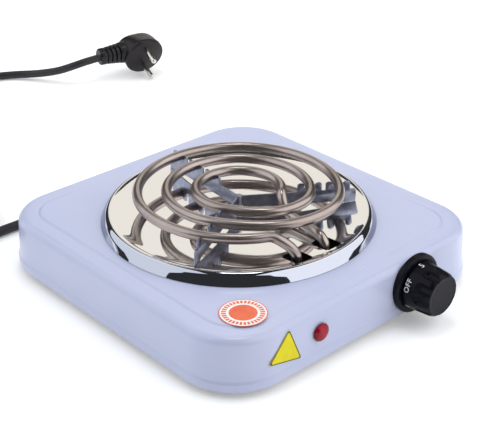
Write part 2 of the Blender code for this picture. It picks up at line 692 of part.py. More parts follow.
def make_wiring():
    thick, thin = 0.0011, 0.0008
    pin_one = (LEG_ONE[0] + BURNER_X, LEG_ONE[1] + BURNER_Y)
    pin_two = (LEG_TWO[0] + BURNER_X, LEG_TWO[1] + BURNER_Y)
    reach = 0.0012 + thick + GAP
    stack_x, stack_y = KNOB_X + 0.0280, -HALF_DEPTH + 0.0160
    lead_y = -HALF_DEPTH + 0.0184
    entry_x = CORD_EXIT[0]
    entry_y = 0.0893
    routes = [
        ("live_wire", thick, WIRE_BROWN,
         [(entry_x + 0.0020, entry_y, 0.0106), (entry_x + 0.0022, 0.0830, 0.0100), (0.030, 0.070, 0.0070), (0.052, 0.030, 0.0062),
          (0.070, -0.020, 0.0062), (0.078, -0.070, 0.0070), (stack_x + 0.0100, -0.0900, 0.0100),
          (stack_x + 0.0070, stack_y, CONTROL_HEIGHT), (stack_x + GAP, stack_y, CONTROL_HEIGHT)]),
        ("neutral_wire", thick, WIRE_BLUE,
         [(entry_x - 0.0020, entry_y, 0.0106), (entry_x - 0.0022, 0.0830, 0.0100), (0.004, 0.060, 0.0070), (-0.020, 0.010, 0.0062),
          (-0.034, -0.040, 0.0062), (-0.032, -0.068, 0.0080),
          (pin_one[0] - reach, pin_one[1], 0.0125)]),
        ("switched_wire", thick, WIRE_BROWN,
         [(KNOB_X + 0.0160, -0.0905, 0.0140), (0.042, -0.086, 0.0080), (0.028, -0.078, 0.0068),
          (pin_two[0] + reach, pin_two[1], 0.0115)]),
        ("earth_wire", thick, WIRE_GREEN,
         [(entry_x, entry_y, 0.0139), (entry_x + 0.0005, 0.0830, 0.0142), (0.040, 0.074, 0.0120), (0.068, 0.060, 0.0075),
          (0.0815, 0.044, 0.0056)]),
        ("lamp_lead_one", thin, WIRE_BROWN,
         [(LAMP_X - 0.0020, lead_y, LAMP_HEIGHT), (LAMP_X - 0.0020, lead_y + 0.0050, 0.0180),
          (-0.032, -0.086, 0.0150), (pin_one[0] - 0.0023, pin_one[1] - 0.0015, 0.0152)]),
        ("lamp_lead_two", thin, WIRE_BLUE,
         [(LAMP_X + 0.0020, lead_y, LAMP_HEIGHT), (LAMP_X + 0.0020, lead_y + 0.0050, 0.0180),
          (-0.030, -0.092, 0.0150),
          (-0.008, -0.092, 0.0120), (pin_two[0] - 0.0005, pin_two[1] - 0.0024, 0.0110)]),
    ]
    for name, radius, mat, route in routes:
        tube(name, smooth_path(route, 0.008), radius, mat, appliance)
    turned("earth_screw", [(0.0, 0.0082), (0.0020, 0.0082), (0.0036, 0.0070),
                           (0.0036, RAIL_TOP + GAP), (0.0, RAIL_TOP + GAP)], BRASS, appliance,
           (0.0860, 0.0440, 0.0), steps=12)
    rod("cord_sheath", CORD_RADIUS, 0.0, 0.0210, CORD, appliance,
        (entry_x, HALF_DEPTH - 0.0075, 0.0120), UPRIGHT)
    clip = [(-0.0055, BASE_TOP + GAP), (0.0160, BASE_TOP + GAP), (0.0160, 0.0045), (0.0055, 0.0045)]
    for k in range(9):
        a = math.radians(180.0 * k / 8)
        clip.append((0.0055 * math.cos(a), 0.0120 + 0.0055 * math.sin(a)))
    hole = circle(CORD_RADIUS + GAP, (0.0, 0.0120), 16)
    clamp = to_mesh(flat("cord_clamp", [clip, hole], 0.0080, BLACK, appliance,
                         (entry_x, CLAMP_Y, 0.0), UPRIGHT))
    boolean(clamp, cutter("clamp_hole", appliance, [
        drill(0.0019, (entry_x + 0.0115, CLAMP_Y, 0.0030), (0, 0, 1), 0.010, 12)]))
    turned("clamp_screw", [(0.0, 0.0068), (0.0020, 0.0068), (0.0034, 0.0058), (0.0034, 0.0048),
                           (0.0016, 0.0048), (0.0016, 0.0004), (0.0, 0.0004)], ZINC, appliance,
           (entry_x + 0.0115, CLAMP_Y, 0.0), steps=12)


# Cord, coil, tie and plug


def cord_path(points, step):
    """A smooth route that never sinks into the surface below it."""
    lowest = CORD_RADIUS + 0.0001
    return [Vector((x, y, max(z, lowest))) for x, y, z in smooth_path(points, step)]


def make_cord():
    route = cord_path(LEAD_ROUTE, 0.005)
    relief = [tuple(p) for p in route[:RELIEF_STEPS]]
    taper = [1.0 - 0.22 * i / (RELIEF_STEPS - 1) for i in range(RELIEF_STEPS)]
    tube("strain_relief", relief, 0.0056, BLACK, radii=taper)
    last, after = route[RELIEF_STEPS - 1], route[RELIEF_STEPS]
    start = last + 0.0005 * (after - last).normalized()
    tube("power_cord", [tuple(p) for p in [start] + route[RELIEF_STEPS:]], CORD_RADIUS, CORD)
    tube("plug_cord", [tuple(p) for p in cord_path(PLUG_ROUTE, 0.010)], CORD_RADIUS, CORD)
    half = CORD_RADIUS + 0.0003
    low = 0.0013
    top = low + 4 * CORD_RADIUS + 0.0002
    ring("cord_coil", CORD_LOOP_RADIUS - half, CORD_LOOP_RADIUS + half, low, top, CORD, None,
         (*CORD_LOOP_CENTRE, 0.0), steps=40)
    room, band = half + 0.0005, 0.0008
    inside = [(-room, low - GAP), (room, low - GAP), (room, top + GAP), (-room, top + GAP)]
    outside = [(-room - band, low - GAP - band), (room + band, low - GAP - band),
               (room + band, top + GAP + band), (-room - band, top + GAP + band)]
    flat("cord_tie", [outside, inside], 0.0050, TIE, None,
         (CORD_LOOP_CENTRE[0] - CORD_LOOP_RADIUS, CORD_LOOP_CENTRE[1], 0.0), UPRIGHT)


def make_plug():
    pins = Vector(PLUG_PIN_WAY).normalized()
    way = Vector(PLUG_CORD_WAY)
    way = (way - way.dot(pins) * pins).normalized()
    across = pins.cross(way)
    place = Matrix((way, across, pins)).transposed().to_4x4()
    place.translation = Vector(PLUG_FACE)
    profile = [(0.0, 0.0), (0.0180, 0.0), (0.0190, -0.0012), (0.0190, -0.0040),
               (0.0172, -0.0100), (0.0150, -0.0200), (0.0110, -0.0235), (0.0, -0.0245)]
    body = turned("plug_body", profile, BLACK, None, steps=28)
    body.matrix_world = place
    bm = bmesh.new()
    turn = Matrix.Rotation(math.radians(90.0), 4, "Y")
    bmesh.ops.create_cone(bm, cap_ends=True, segments=20, radius1=0.0105, radius2=0.0080,
                          depth=0.0400, matrix=Matrix.Translation((0.0220, 0.0, -0.0115)) @ turn)
    grip = bpy.data.objects.new("plug_grip", mesh_of("plug_grip", bm))
    grip.hide_render = True
    grip.display_type = "WIRE"
    grip.matrix_world = place
    CUTTERS.objects.link(grip)
    boolean(body, grip, "UNION")
    for name, side in (("plug_pin_upper", 1), ("plug_pin_lower", -1)):
        tip = [(0.0, PIN_LENGTH), (0.0012, PIN_LENGTH - 0.0002), (PIN_RADIUS, PIN_LENGTH - 0.0018),
               (PIN_RADIUS, GAP), (0.0, GAP)]
        pin = turned(name, tip, NICKEL, None, steps=16)
        pin.matrix_world = place @ Matrix.Translation((0.0, side * PIN_SPACING / 2, 0.0))


make_housing()
make_base()
make_bowl()
make_element()
make_knob()
make_thermostat()
make_lamp()
make_labels()
make_wiring()
make_cord()
make_plug()
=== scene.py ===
"""Hot plate burner: the finished look of the part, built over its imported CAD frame."""

import math

import bmesh
import bpy
from mathutils import Matrix, Vector


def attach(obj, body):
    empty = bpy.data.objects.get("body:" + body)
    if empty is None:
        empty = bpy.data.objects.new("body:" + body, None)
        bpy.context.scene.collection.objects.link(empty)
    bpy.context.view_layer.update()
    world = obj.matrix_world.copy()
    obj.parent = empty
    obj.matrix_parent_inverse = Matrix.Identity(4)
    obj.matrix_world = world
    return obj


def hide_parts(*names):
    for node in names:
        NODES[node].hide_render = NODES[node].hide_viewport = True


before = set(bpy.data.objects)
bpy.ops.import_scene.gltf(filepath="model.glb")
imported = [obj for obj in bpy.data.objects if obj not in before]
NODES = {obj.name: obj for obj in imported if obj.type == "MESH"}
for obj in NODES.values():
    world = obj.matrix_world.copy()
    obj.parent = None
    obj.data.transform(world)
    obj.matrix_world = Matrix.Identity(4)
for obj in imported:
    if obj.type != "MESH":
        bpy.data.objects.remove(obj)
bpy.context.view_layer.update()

MM = 0.001

# The appliance's own origin, level with the hem, and the axes of its controls
ORIGIN = Vector((0.0, 0.01125, 0.0045))
HALF_WIDTH = 0.1150
HALF_DEPTH = 0.1184
CORNER_RADIUS = 0.0364
HOUSING_HEIGHT = 0.0349
EDGE_RADIUS = 0.0050
PANEL_TOP = 0.0356
DRAFT = 0.0011
HEM_OUT = 0.0020
BURNER = ORIGIN + Vector((-0.0014, -0.0012, 0.0))
KNOB_HEIGHT = 0.0187
KNOB_AXIS = ORIGIN + Vector((0.0414, -HALF_DEPTH, KNOB_HEIGHT))
LAMP_AXIS = ORIGIN + Vector((-0.0433, -HALF_DEPTH, 0.0192))

DISH_BOTTOM = 0.0378
DISH_RISE = 0.0034
DISH_RADIUS = 0.0790
CREST_RISE = 0.0013
CREST_RADIUS = 0.0864
RIM_RADIUS = 0.0922
RING_RADII = (0.0671, 0.0479, 0.0287)
TUBE_RADIUS = 0.0034
TUBE_HEIGHT = 0.0553
COIL_START = -116.0
RING_CHANGE = (-50.0, -148.0)
LEG_ONE = (-0.0170, -0.0733)
LEG_TWO = (0.0095, -0.0715)
ARM_AZIMUTHS = (-35.0, 85.0, -152.0)
ARM_NOTCHES = (2, 3, 3)
ARM_BELLY = 0.0420
ARM_BACK = 0.0506
TOOTH_TOP = 0.0568
ARM_TIP = 0.0795
LEG_HOLES = ((-0.0164, -0.0722), (0.0092, -0.0724))
LEG_HOLE_SIZE = (0.0140, 0.0160, 0.020)

# Sheet metal, and the holes in the case walls
CASE_SHEET = 0.0008
BOWL_SHEET = 0.0006
HEM_HEIGHT = 0.0050
PANEL_STEP_IN = 0.0138
PANEL_STEP_WIDTH = 0.0017
BOWL_HOLE = 0.0024
STRIP_HALF = 0.00042
STRIP_BEVEL = 0.00008
SPINDLE_HOLE = 0.0052
LAMP_HOLE = 0.0047
LEAD_HOLE = 0.0061
HOLE_DEPTH = 0.006

# The knob, from the front wall outwards
KNOB_TOP = 0.0245
KNOB_SKIRT_RADIUS = 0.0160
KNOB_TAPER = ((0.0049, 0.0160), (0.0060, 0.0160), (0.0140, 0.0154), (0.0215, 0.0148))
FLUTES = 10
FLUTE_RADIUS = 0.0031
FLUTE_AZIMUTH = 4.0
MARK_MIDDLE = 0.0094
MARK_LIFT = 0.00005
CAP_HEIGHT = 0.70

LENS_FACETS = 14

# The labels
ROUND_LABEL = (-0.0805, -0.0920)
ROUND_LABEL_RADII = (0.0145, 0.0139, 0.0129, 0.0101, 0.0085)
ROUND_LABEL_STEPS = 96
LABEL_THICK = 0.00022
LABEL_LIFT = 0.0003
TRIANGLE_CORNERS = ((-0.0689, 0.0133), (-0.0858, -0.0045), (-0.0595, -0.0105))
TRIANGLE_THICK = 0.0002
TRIANGLE_BLUNTNESS = 0.06
WALL_RISE = 0.0234

# The lead, as the CAD lays it
CORD_RADIUS = 0.0035
CORD_LOOP_CENTRE = (-0.1240, 0.2050)
CORD_LOOP_RADIUS = 0.0390
FIRST_TURN_WIDER = 0.0070
COIL_TRAVEL = 855.0
COIL_POINTS = 57
LEAD_START_Y = 0.1290
RELIEF_START_Y = 0.1240
RELIEF_END_X = 0.0120
RELIEF_RIBS = 6
LEAD_ROUTE = [
    (0.0200, 0.1235, 0.0165),
    (0.0200, 0.1370, 0.0165),
    (0.0170, 0.1480, 0.0160),
    (0.0090, 0.1580, 0.0146),
    (-0.0030, 0.1650, 0.0118),
    (-0.0190, 0.1682, 0.0076),
    (-0.0380, 0.1660, 0.0042),
    (-0.0570, 0.1608, 0.0036),
    (-0.0770, 0.1590, 0.0036),
    (-0.1000, 0.1592, 0.0036),
]
PLUG_ROUTE = [
    (-0.1100, 0.2746, 0.0082),
    (-0.0750, 0.3096, 0.0042),
    (-0.0400, 0.3446, 0.0036),
    (0.0000, 0.3846, 0.0036),
    (0.0287, 0.4133, 0.0036),
    (0.0520, 0.4230, 0.0036),
    (0.0753, 0.4133, 0.0038),
    (0.0920, 0.3930, 0.0066),
    (0.1020, 0.3740, 0.0122),
    (0.1110, 0.3620, 0.0178),
    (0.1220, 0.3558, 0.0212),
    (0.1337, 0.3531, 0.0223),
]
PLUG_FACE = (0.1736, 0.3338, 0.0184)
PLUG_CORD_WAY = (-0.961, 0.236, 0.0)
PLUG_PIN_WAY = (-0.195, -0.899, -0.391)
PLUG_ARM_HEIGHT = -0.0122
PIN_OFFSET = 0.0095

# Arithmetic


def clamp(value):
    return min(max(value, 0.0), 1.0)


def smoothstep(t):
    return t * t * (3 - 2 * t)


# Objects


def add_object(name, data):
    ob = bpy.data.objects.new(name, data)
    bpy.context.scene.collection.objects.link(ob)
    return ob


def make_mesh(name, bm):
    mesh = bpy.data.meshes.new(name)
    bm.to_mesh(mesh)
    bm.free()
    return mesh


def evaluated_mesh(ob):
    """The mesh of an object after its modifiers, or of a curve after its bevel."""
    bpy.context.view_layer.update()
    graph = bpy.context.evaluated_depsgraph_get()
    return bpy.data.meshes.new_from_object(ob.evaluated_get(graph))


def curve_shape(name, data, weld):
    """A flat curve or a text as a bmesh, with its doubled points merged."""
    holder = add_object(name, data)
    mesh = evaluated_mesh(holder)
    bpy.data.objects.remove(holder, do_unlink=True)
    bm = bmesh.new()
    bm.from_mesh(mesh)
    bpy.data.meshes.remove(mesh)
    bmesh.ops.remove_doubles(bm, verts=bm.verts, dist=weld)
    return bm


# Camera, light and floor


def make_camera():
    """A long lens that looks down over the front left corner."""
    azimuth, elevation, roll = (math.radians(a) for a in (-42.232, 28.637, -0.276))
    back = Vector((math.sin(azimuth) * math.cos(elevation),
                   -math.cos(azimuth) * math.cos(elevation), math.sin(elevation)))
    right = Vector((math.cos(azimuth), math.sin(azimuth), 0.0))
    up = back.cross(right)
    place = ORIGIN + 0.81899 * back + 0.00065 * right + 0.02505 * up
    across = right * math.cos(roll) + up * math.sin(roll)
    upward = up * math.cos(roll) - right * math.sin(roll)
    data = bpy.data.cameras.new("camera")
    data.lens = 89.368
    data.sensor_width = 36.0
    data.sensor_fit = "HORIZONTAL"
    data.clip_start = 0.01
    data.clip_end = 50.0
    camera = add_object("camera", data)
    matrix = Matrix((across, upward, back)).transposed().to_4x4()
    matrix.translation = place
    camera.matrix_world = matrix
    bpy.context.scene.camera = camera


def area_light(name, place, aim, size, power, colour=(1.0, 1.0, 1.0)):
    data = bpy.data.lights.new(name, "AREA")
    data.shape = "RECTANGLE"
    data.size, data.size_y = size
    data.energy = power
    data.color = colour
    light = add_object(name, data)
    light.location = place
    light.rotation_euler = (Vector(place) - Vector(aim)).to_track_quat("Z", "Y").to_euler()


def make_world():
    """White where the camera sees it, dim where it is mirrored, and a soft fill elsewhere."""
    bpy.context.scene.view_settings.view_transform = "Standard"
    world = bpy.data.worlds.new("studio")
    bpy.context.scene.world = world
    world.use_nodes = True
    tree = world.node_tree
    background = tree.nodes["Background"]
    background.inputs["Color"].default_value = (0.96, 0.98, 1.0, 1.0)

    # The fill is brighter behind the object than in front of it
    rays = tree.nodes.new("ShaderNodeLightPath")
    way = tree.nodes.new("ShaderNodeTexCoord")
    facing = tree.nodes.new("ShaderNodeVectorMath")
    facing.operation = "DOT_PRODUCT"
    facing.inputs[1].default_value = (0.67, 0.74, 0.10)
    fill = tree.nodes.new("ShaderNodeMapRange")
    fill.inputs["From Min"].default_value = -0.7
    fill.inputs["To Min"].default_value = 0.10
    fill.inputs["To Max"].default_value = 0.85
    tree.links.new(way.outputs["Generated"], facing.inputs[0])
    tree.links.new(facing.outputs["Value"], fill.inputs["Value"])
    strength = fill.outputs["Result"]
    for kind, seen in (("Is Glossy Ray", 0.05), ("Is Camera Ray", 1.05)):
        choice = tree.nodes.new("ShaderNodeMix")
        choice.inputs["B"].default_value = seen
        tree.links.new(strength, choice.inputs["A"])
        tree.links.new(rays.outputs[kind], choice.inputs["Factor"])
        strength = choice.outputs["Result"]
    tree.links.new(strength, background.inputs["Strength"])


def make_studio():
    """Softboxes to the left and right, a warm lit backdrop, and little light from above."""
    make_world()
    area_light("left_softbox", (-0.86, 0.84, 0.92), (0.0, 0.0, 0.03), (2.2, 1.9), 16.0,
               (0.94, 0.97, 1.0))
    area_light("right_softbox", (0.72, -0.94, 0.92), (0.0, 0.0, 0.03), (2.5, 1.9), 23.5)
    area_light("backdrop", (1.34, 1.48, 0.95), (0.0, 0.0, 0.20), (1.15, 2.1), 6.5,
               (1.0, 0.955, 0.88))
    area_light("overhead", (0.20, 0.20, 1.90), (0.0, 0.0, 0.0), (0.45, 0.45), 5.0)

    bm = bmesh.new()
    bmesh.ops.create_grid(bm, x_segments=1, y_segments=1, size=6.0)
    floor = add_object("floor", make_mesh("floor", bm))
    floor.location = (0.0, 0.0, -0.0002)
    mat, shader = new_material("floor_paper", (0.95, 0.95, 0.95), 0.9)
    shader.inputs["Specular IOR Level"].default_value = 0.0
    shader.inputs["Emission Color"].default_value = (0.97, 0.98, 1.0, 1.0)
    shader.inputs["Emission Strength"].default_value = 0.16
    floor.data.materials.append(mat)


# Materials


def new_material(name, colour, roughness, metallic=0.0):
    mat = bpy.data.materials.new(name)
    mat.use_nodes = True
    mat.diffuse_color = (*colour, 1.0)
    shader = mat.node_tree.nodes["Principled BSDF"]
    shader.inputs["Base Color"].default_value = (*colour, 1.0)
    shader.inputs["Roughness"].default_value = roughness
    shader.inputs["Metallic"].default_value = metallic
    return mat, shader


def node(mat, kind, inputs=None, **settings):
    made = mat.node_tree.nodes.new(kind)
    for key, value in settings.items():
        setattr(made, key, value)
    for key, value in (inputs or {}).items():
        made.inputs[key].default_value = value
    return made


def link(mat, source, target):
    mat.node_tree.links.new(source, target)


def coordinates(mat, scale=(1.0, 1.0, 1.0), centre=(0.0, 0.0, 0.0)):
    """Rest position in metres, moved to a centre and scaled."""
    place = node(mat, "ShaderNodeTexCoord").outputs["Object"]
    mapping = node(mat, "ShaderNodeMapping", {"Scale": scale})
    mapping.inputs["Location"].default_value = tuple(-c * s for c, s in zip(centre, scale))
    link(mat, place, mapping.inputs["Vector"])
    return mapping.outputs["Vector"]


def noise(mat, vector, scale, detail=3.0, roughness=0.5):
    made = node(mat, "ShaderNodeTexNoise",
                {"Scale": scale, "Detail": detail, "Roughness": roughness})
    link(mat, vector, made.inputs["Vector"])
    return made.outputs["Fac"]


def spread(mat, value, low, high, from_low=0.3, from_high=0.7):
    made = node(mat, "ShaderNodeMapRange", {"From Min": from_low, "From Max": from_high,
                                            "To Min": low, "To Max": high},
                interpolation_type="SMOOTHSTEP")
    link(mat, value, made.inputs["Value"])
    return made.outputs["Result"]


def mix_colours(mat, factor, first, second):
    made = node(mat, "ShaderNodeMix", data_type="RGBA")
    made.inputs["A"].default_value = (*first, 1.0)
    made.inputs["B"].default_value = (*second, 1.0)
    link(mat, factor, made.inputs["Factor"])
    return made.outputs["Result"]


def bump(mat, shader, height, strength, distance):
    made = node(mat, "ShaderNodeBump", {"Strength": strength, "Distance": distance})
    link(mat, height, made.inputs["Height"])
    link(mat, made.outputs["Normal"], shader.inputs["Normal"])


def worn_material(name, first, second, roughness, metallic=0.0, scale=60.0, grain=900.0,
                  depth=0.00004, strength=0.25, gloss=0.5):
    """Two close colours that drift into each other, an uneven gloss, and a fine grain."""
    mat, shader = new_material(name, first, roughness[0], metallic)
    shader.inputs["Specular IOR Level"].default_value = gloss
    where = coordinates(mat)
    drift = noise(mat, where, scale, 4.0)
    link(mat, mix_colours(mat, spread(mat, drift, 0.0, 1.0), first, second),
         shader.inputs["Base Color"])
    link(mat, spread(mat, noise(mat, where, scale * 2.3, 3.0), *roughness),
         shader.inputs["Roughness"])
    bump(mat, shader, noise(mat, where, grain, 2.0), strength, depth)
    return mat, shader


def make_chrome():
    """Polished metal: bright in the dish, a little darker and bluer on the rolled rim, where the
    colour is a painted dark reflection.
    """
    mat, shader = new_material("chrome", (0.90, 0.89, 0.88), 0.03, 1.0)
    where = coordinates(mat)
    link(mat, spread(mat, noise(mat, where, 45.0, 4.0), 0.015, 0.07), shader.inputs["Roughness"])
    out = node(mat, "ShaderNodeVectorMath", operation="LENGTH")
    link(mat, coordinates(mat, (1.0, 1.0, 0.0), BURNER), out.inputs[0])
    # The rim's darker, bluer base colour is painted reflection, standing in for the dark
    # surroundings the rolled rim mirrors; it is the same metal as the dish.
    rim_painted_reflection = spread(mat, out.outputs["Value"], 0.0, 1.0, CREST_RADIUS - 0.0010,
                    CREST_RADIUS + 0.0020)
    link(mat, mix_colours(mat, rim_painted_reflection, (0.90, 0.89, 0.88), (0.47, 0.49, 0.57)),
         shader.inputs["Base Color"])
    bump(mat, shader, noise(mat, where, 38.0, 2.0), 0.10, 0.0004)
    return mat


def make_galvanised():
    """Zinc-coated strip, with a crystal pattern in its colour."""
    mat, shader = new_material("galvanised_steel", (0.32, 0.34, 0.44), 0.28, 1.0)
    where = coordinates(mat)
    spangle = node(mat, "ShaderNodeTexVoronoi", {"Scale": 260.0})
    link(mat, where, spangle.inputs["Vector"])
    link(mat, mix_colours(mat, spread(mat, spangle.outputs["Distance"], 0.0, 1.0, 0.1, 0.8),
                          (0.34, 0.36, 0.46), (0.26, 0.28, 0.37)), shader.inputs["Base Color"])
    link(mat, spread(mat, noise(mat, where, 120.0), 0.28, 0.38), shader.inputs["Roughness"])
    bump(mat, shader, noise(mat, where, 300.0), 0.10, 0.00002)
    return mat


def make_earth_wire():
    """Green with yellow bands."""
    mat, shader = new_material("earth_wire", (0.25, 0.50, 0.08), 0.45)
    stripes = node(mat, "ShaderNodeTexWave", {"Scale": 120.0, "Distortion": 0.4})
    link(mat, coordinates(mat), stripes.inputs["Vector"])
    link(mat, mix_colours(mat, spread(mat, stripes.outputs["Fac"], 0.0, 1.0, 0.45, 0.55),
                          (0.10, 0.36, 0.06), (0.78, 0.68, 0.05)), shader.inputs["Base Color"])
    return mat


def make_lens_plastic():
    """Clear red plastic, nearly opaque."""
    mat, shader = new_material("red_lens", (0.32, 0.001, 0.016), 0.10)
    shader.inputs["Subsurface Weight"].default_value = 0.10
    shader.inputs["Subsurface Radius"].default_value = (0.004, 0.0005, 0.0005)
    shader.inputs["Specular IOR Level"].default_value = 0.25
    drift = spread(mat, noise(mat, coordinates(mat), 260.0), 0.0, 1.0)
    link(mat, mix_colours(mat, drift, (0.38, 0.001, 0.020), (0.20, 0.000, 0.010)),
         shader.inputs["Base Color"])
    return mat


def make_materials():
    mats = {}
    mats["enamel"], shader = worn_material(
        "white_enamel", (0.45, 0.49, 0.68), (0.48, 0.51, 0.69), (0.285, 0.36), scale=18.0,
        grain=160.0, depth=0.00003, strength=0.20)
    shader.inputs["Coat Weight"].default_value = 0.25
    shader.inputs["Coat Roughness"].default_value = 0.12

    mats["chrome"] = make_chrome()
    mats["element"], _ = worn_material(
        "element_steel", (0.36, 0.30, 0.28), (0.44, 0.38, 0.36), (0.28, 0.33), 1.0, scale=40.0,
        grain=700.0, depth=0.000006, strength=0.10)
    mats["galvanised"] = make_galvanised()
    mats["zinc"], _ = worn_material("zinc_steel", (0.62, 0.62, 0.60), (0.52, 0.52, 0.53),
                                    (0.28, 0.42), 1.0, scale=90.0)
    mats["brass"], _ = worn_material("brass", (0.75, 0.58, 0.28), (0.66, 0.48, 0.22),
                                     (0.29, 0.38), 1.0, scale=120.0)
    mats["black"], _ = worn_material(
        "black_plastic", (0.003, 0.003, 0.007), (0.005, 0.005, 0.010), (0.28, 0.36), scale=70.0,
        grain=1600.0, depth=0.00002, strength=0.25, gloss=0.12)
    mats["plug"], _ = worn_material(
        "plug_plastic", (0.008, 0.006, 0.008), (0.013, 0.010, 0.012), (0.30, 0.42), scale=60.0,
        grain=1300.0, depth=0.00003, strength=0.30, gloss=0.30)
    mats["print"], _ = worn_material("white_print", (0.72, 0.73, 0.76), (0.58, 0.59, 0.62),
                                     (0.45, 0.60), scale=500.0, grain=2500.0)
    mats["ceramic"], _ = worn_material("ceramic", (0.84, 0.81, 0.74), (0.76, 0.72, 0.64),
                                       (0.55, 0.70), scale=110.0)
    mats["rubber"], _ = worn_material("black_rubber", (0.03, 0.03, 0.03), (0.045, 0.045, 0.045),
                                      (0.70, 0.85), scale=90.0)
    mats["cord"], _ = worn_material(
        "cord_jacket", (0.016, 0.015, 0.018), (0.024, 0.022, 0.026), (0.36, 0.48), scale=80.0,
        grain=1100.0, depth=0.00003, strength=0.30, gloss=0.35)
    mats["nickel"], _ = worn_material("nickel_pin", (0.72, 0.69, 0.64), (0.62, 0.58, 0.53),
                                      (0.12, 0.24), 1.0, scale=220.0)
    wires = {"brown": (0.20, 0.08, 0.04), "blue": (0.05, 0.12, 0.45)}
    for name, colour in wires.items():
        mats[name], _ = worn_material(name + "_wire", colour, tuple(c * 0.8 for c in colour),
                                      (0.40, 0.52), scale=120.0)
    mats["earth"] = make_earth_wire()
    mats["lens"] = make_lens_plastic()
    for name, colour, other in (("label_white", (0.86, 0.84, 0.82), (0.80, 0.78, 0.76)),
                                ("label_orange", (0.78, 0.17, 0.08), (0.70, 0.14, 0.07)),
                                ("label_yellow", (0.72, 0.63, 0.004), (0.66, 0.57, 0.006)),
                                ("label_dark", (0.05, 0.05, 0.04), (0.08, 0.08, 0.06))):
        mats[name], _ = worn_material(name, colour, other, (0.30, 0.42), scale=150.0,
                                      grain=1500.0, depth=0.00001, strength=0.15, gloss=0.2)
    return mats


# Shapes


def to_object(name, bm, mat, body="housing", smooth=35.0, *, slot):
    """A finished piece: its faces, material and body. The slot argument is not used."""
    bmesh.ops.recalc_face_normals(bm, faces=bm.faces)
    mesh = make_mesh(name, bm)
    if smooth is not None:
        mesh.shade_smooth()
        mesh.set_sharp_from_angle(angle=math.radians(smooth))
    for m in mat if isinstance(mat, (list, tuple)) else [mat]:
        mesh.materials.append(m)
    ob = add_object(name, mesh)
    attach(ob, body)
    return ob


def circle(radius, height, steps):
    angles = [math.tau * i / steps for i in range(steps)]
    return [Vector((radius * math.cos(a), radius * math.sin(a), height)) for a in angles]


def squared_circle(steps, power):
    """Points round a unit circle, squarer as the power grows from 2."""
    points = []
    for k in range(steps):
        c, s = math.cos(math.tau * k / steps), math.sin(math.tau * k / steps)
        points.append((math.copysign(abs(c) ** (2 / power), c),
                       math.copysign(abs(s) ** (2 / power), s)))
    return points


def skin(bm, rows, closed=False):
    """Faces between rings of points. A ring of one point ends the skin there."""
    made = [[bm.verts.new(p) for p in row] for row in rows]
    pairs = list(zip(made, made[1:]))
    if closed:
        pairs.append((made[-1], made[0]))
    for low, high in pairs:
        count = max(len(low), len(high))
        for i in range(count):
            j = (i + 1) % count
            quad = [low[i % len(low)], low[j % len(low)], high[j % len(high)], high[i % len(high)]]
            face = list(dict.fromkeys(quad))
            if len(face) > 2:
                bm.faces.new(face)
    return made


def turn(profile, steps, place, closed=False):
    """A solid turned about the place's Z from (radius, height) points."""
    bm = bmesh.new()
    skin(bm, [circle(r, z, steps) if r > 1e-7 else [Vector((0.0, 0.0, z))] for r, z in profile],
         closed=closed)
    bmesh.ops.transform(bm, matrix=place, verts=bm.verts)
    return bm


def rounded(profile, radius, pieces=4):
    """The profile with each inner corner rounded off, as far as its neighbours allow."""
    points = [Vector(p) for p in profile]
    out = [points[0]]
    for a, b, c in zip(points, points[1:], points[2:]):
        cut = min(radius, (a - b).length * 0.45, (c - b).length * 0.45)
        start, end = b + (a - b).normalized() * cut, b + (c - b).normalized() * cut
        for k in range(pieces + 1):
            t = k / pieces
            out.append((1 - t) ** 2 * start + 2 * t * (1 - t) * b + t * t * end)
    out.append(points[-1])
    return [(p.x, p.y) for p in out]


def upright(place):
    """A frame whose Z looks out of the front wall."""
    return Matrix.Translation(place) @ Matrix.Rotation(math.radians(90.0), 4, "X")


def smooth_path(points, step):
    """A curve through all the points, in pieces of about one step."""
    pts = [Vector(p) for p in points]
    pts = [2 * pts[0] - pts[1]] + pts + [2 * pts[-1] - pts[-2]]
    path = []
    for a, b, c, d in zip(pts, pts[1:], pts[2:], pts[3:]):
        pieces = max(1, round((c - b).length / step))
        for k in range(pieces):
            t = k / pieces
            path.append(0.5 * (2 * b + (c - a) * t + (2 * a - 5 * b + 4 * c - d) * t * t
                               + (3 * b - a - 3 * c + d) * t ** 3))
    path.append(pts[-2])
    return path


def frames_along(path):
    """A direction and two cross directions at each point, without twist."""
    ways = []
    for i in range(len(path)):
        a, b = path[max(i - 1, 0)], path[min(i + 1, len(path) - 1)]
        ways.append((b - a).normalized())
    side = ways[0].cross(Vector((0.0, 0.0, 1.0)))
    if side.length < 0.1:
        side = ways[0].cross(Vector((0.0, 1.0, 0.0)))
    side.normalize()
    sets = []
    for way in ways:
        side = (side - side.dot(way) * way).normalized()
        sets.append((way, side, way.cross(side)))
    return sets


def sweep(path, stations, sides):
    """Rings round a path. A station is how far along it is, from 0 to 1, and its radius."""
    sets = frames_along(path)
    rows = []
    for t, radius in stations:
        x = clamp(t) * (len(path) - 1)
        i = min(int(x), len(path) - 2)
        centre = path[i].lerp(path[i + 1], x - i)
        side = sets[i][1].lerp(sets[i + 1][1], x - i)
        other = sets[i][2].lerp(sets[i + 1][2], x - i)
        if radius < 1e-7:
            rows.append([centre])
            continue
        angles = [math.tau * k / sides for k in range(sides)]
        rows.append([centre + radius * (side * math.cos(a) + other * math.sin(a))
                     for a in angles])
    return rows


def cut_away(ob, others, operation="DIFFERENCE"):
    """Applies the object's modifiers and a Boolean for each cutter, and removes the cutters."""
    for other in others:
        mod = ob.modifiers.new("cut", "BOOLEAN")
        mod.object = other
        mod.operation = operation
        mod.solver = "EXACT"
    mesh = evaluated_mesh(ob)
    old = ob.data
    ob.modifiers.clear()
    ob.data = mesh
    mesh.name = old.name
    bpy.data.meshes.remove(old)
    for other in others:
        bpy.data.objects.remove(other, do_unlink=True)


def plain(name, bm):
    """A cutter, in no body."""
    bmesh.ops.recalc_face_normals(bm, faces=bm.faces)
    return add_object(name, make_mesh(name, bm))


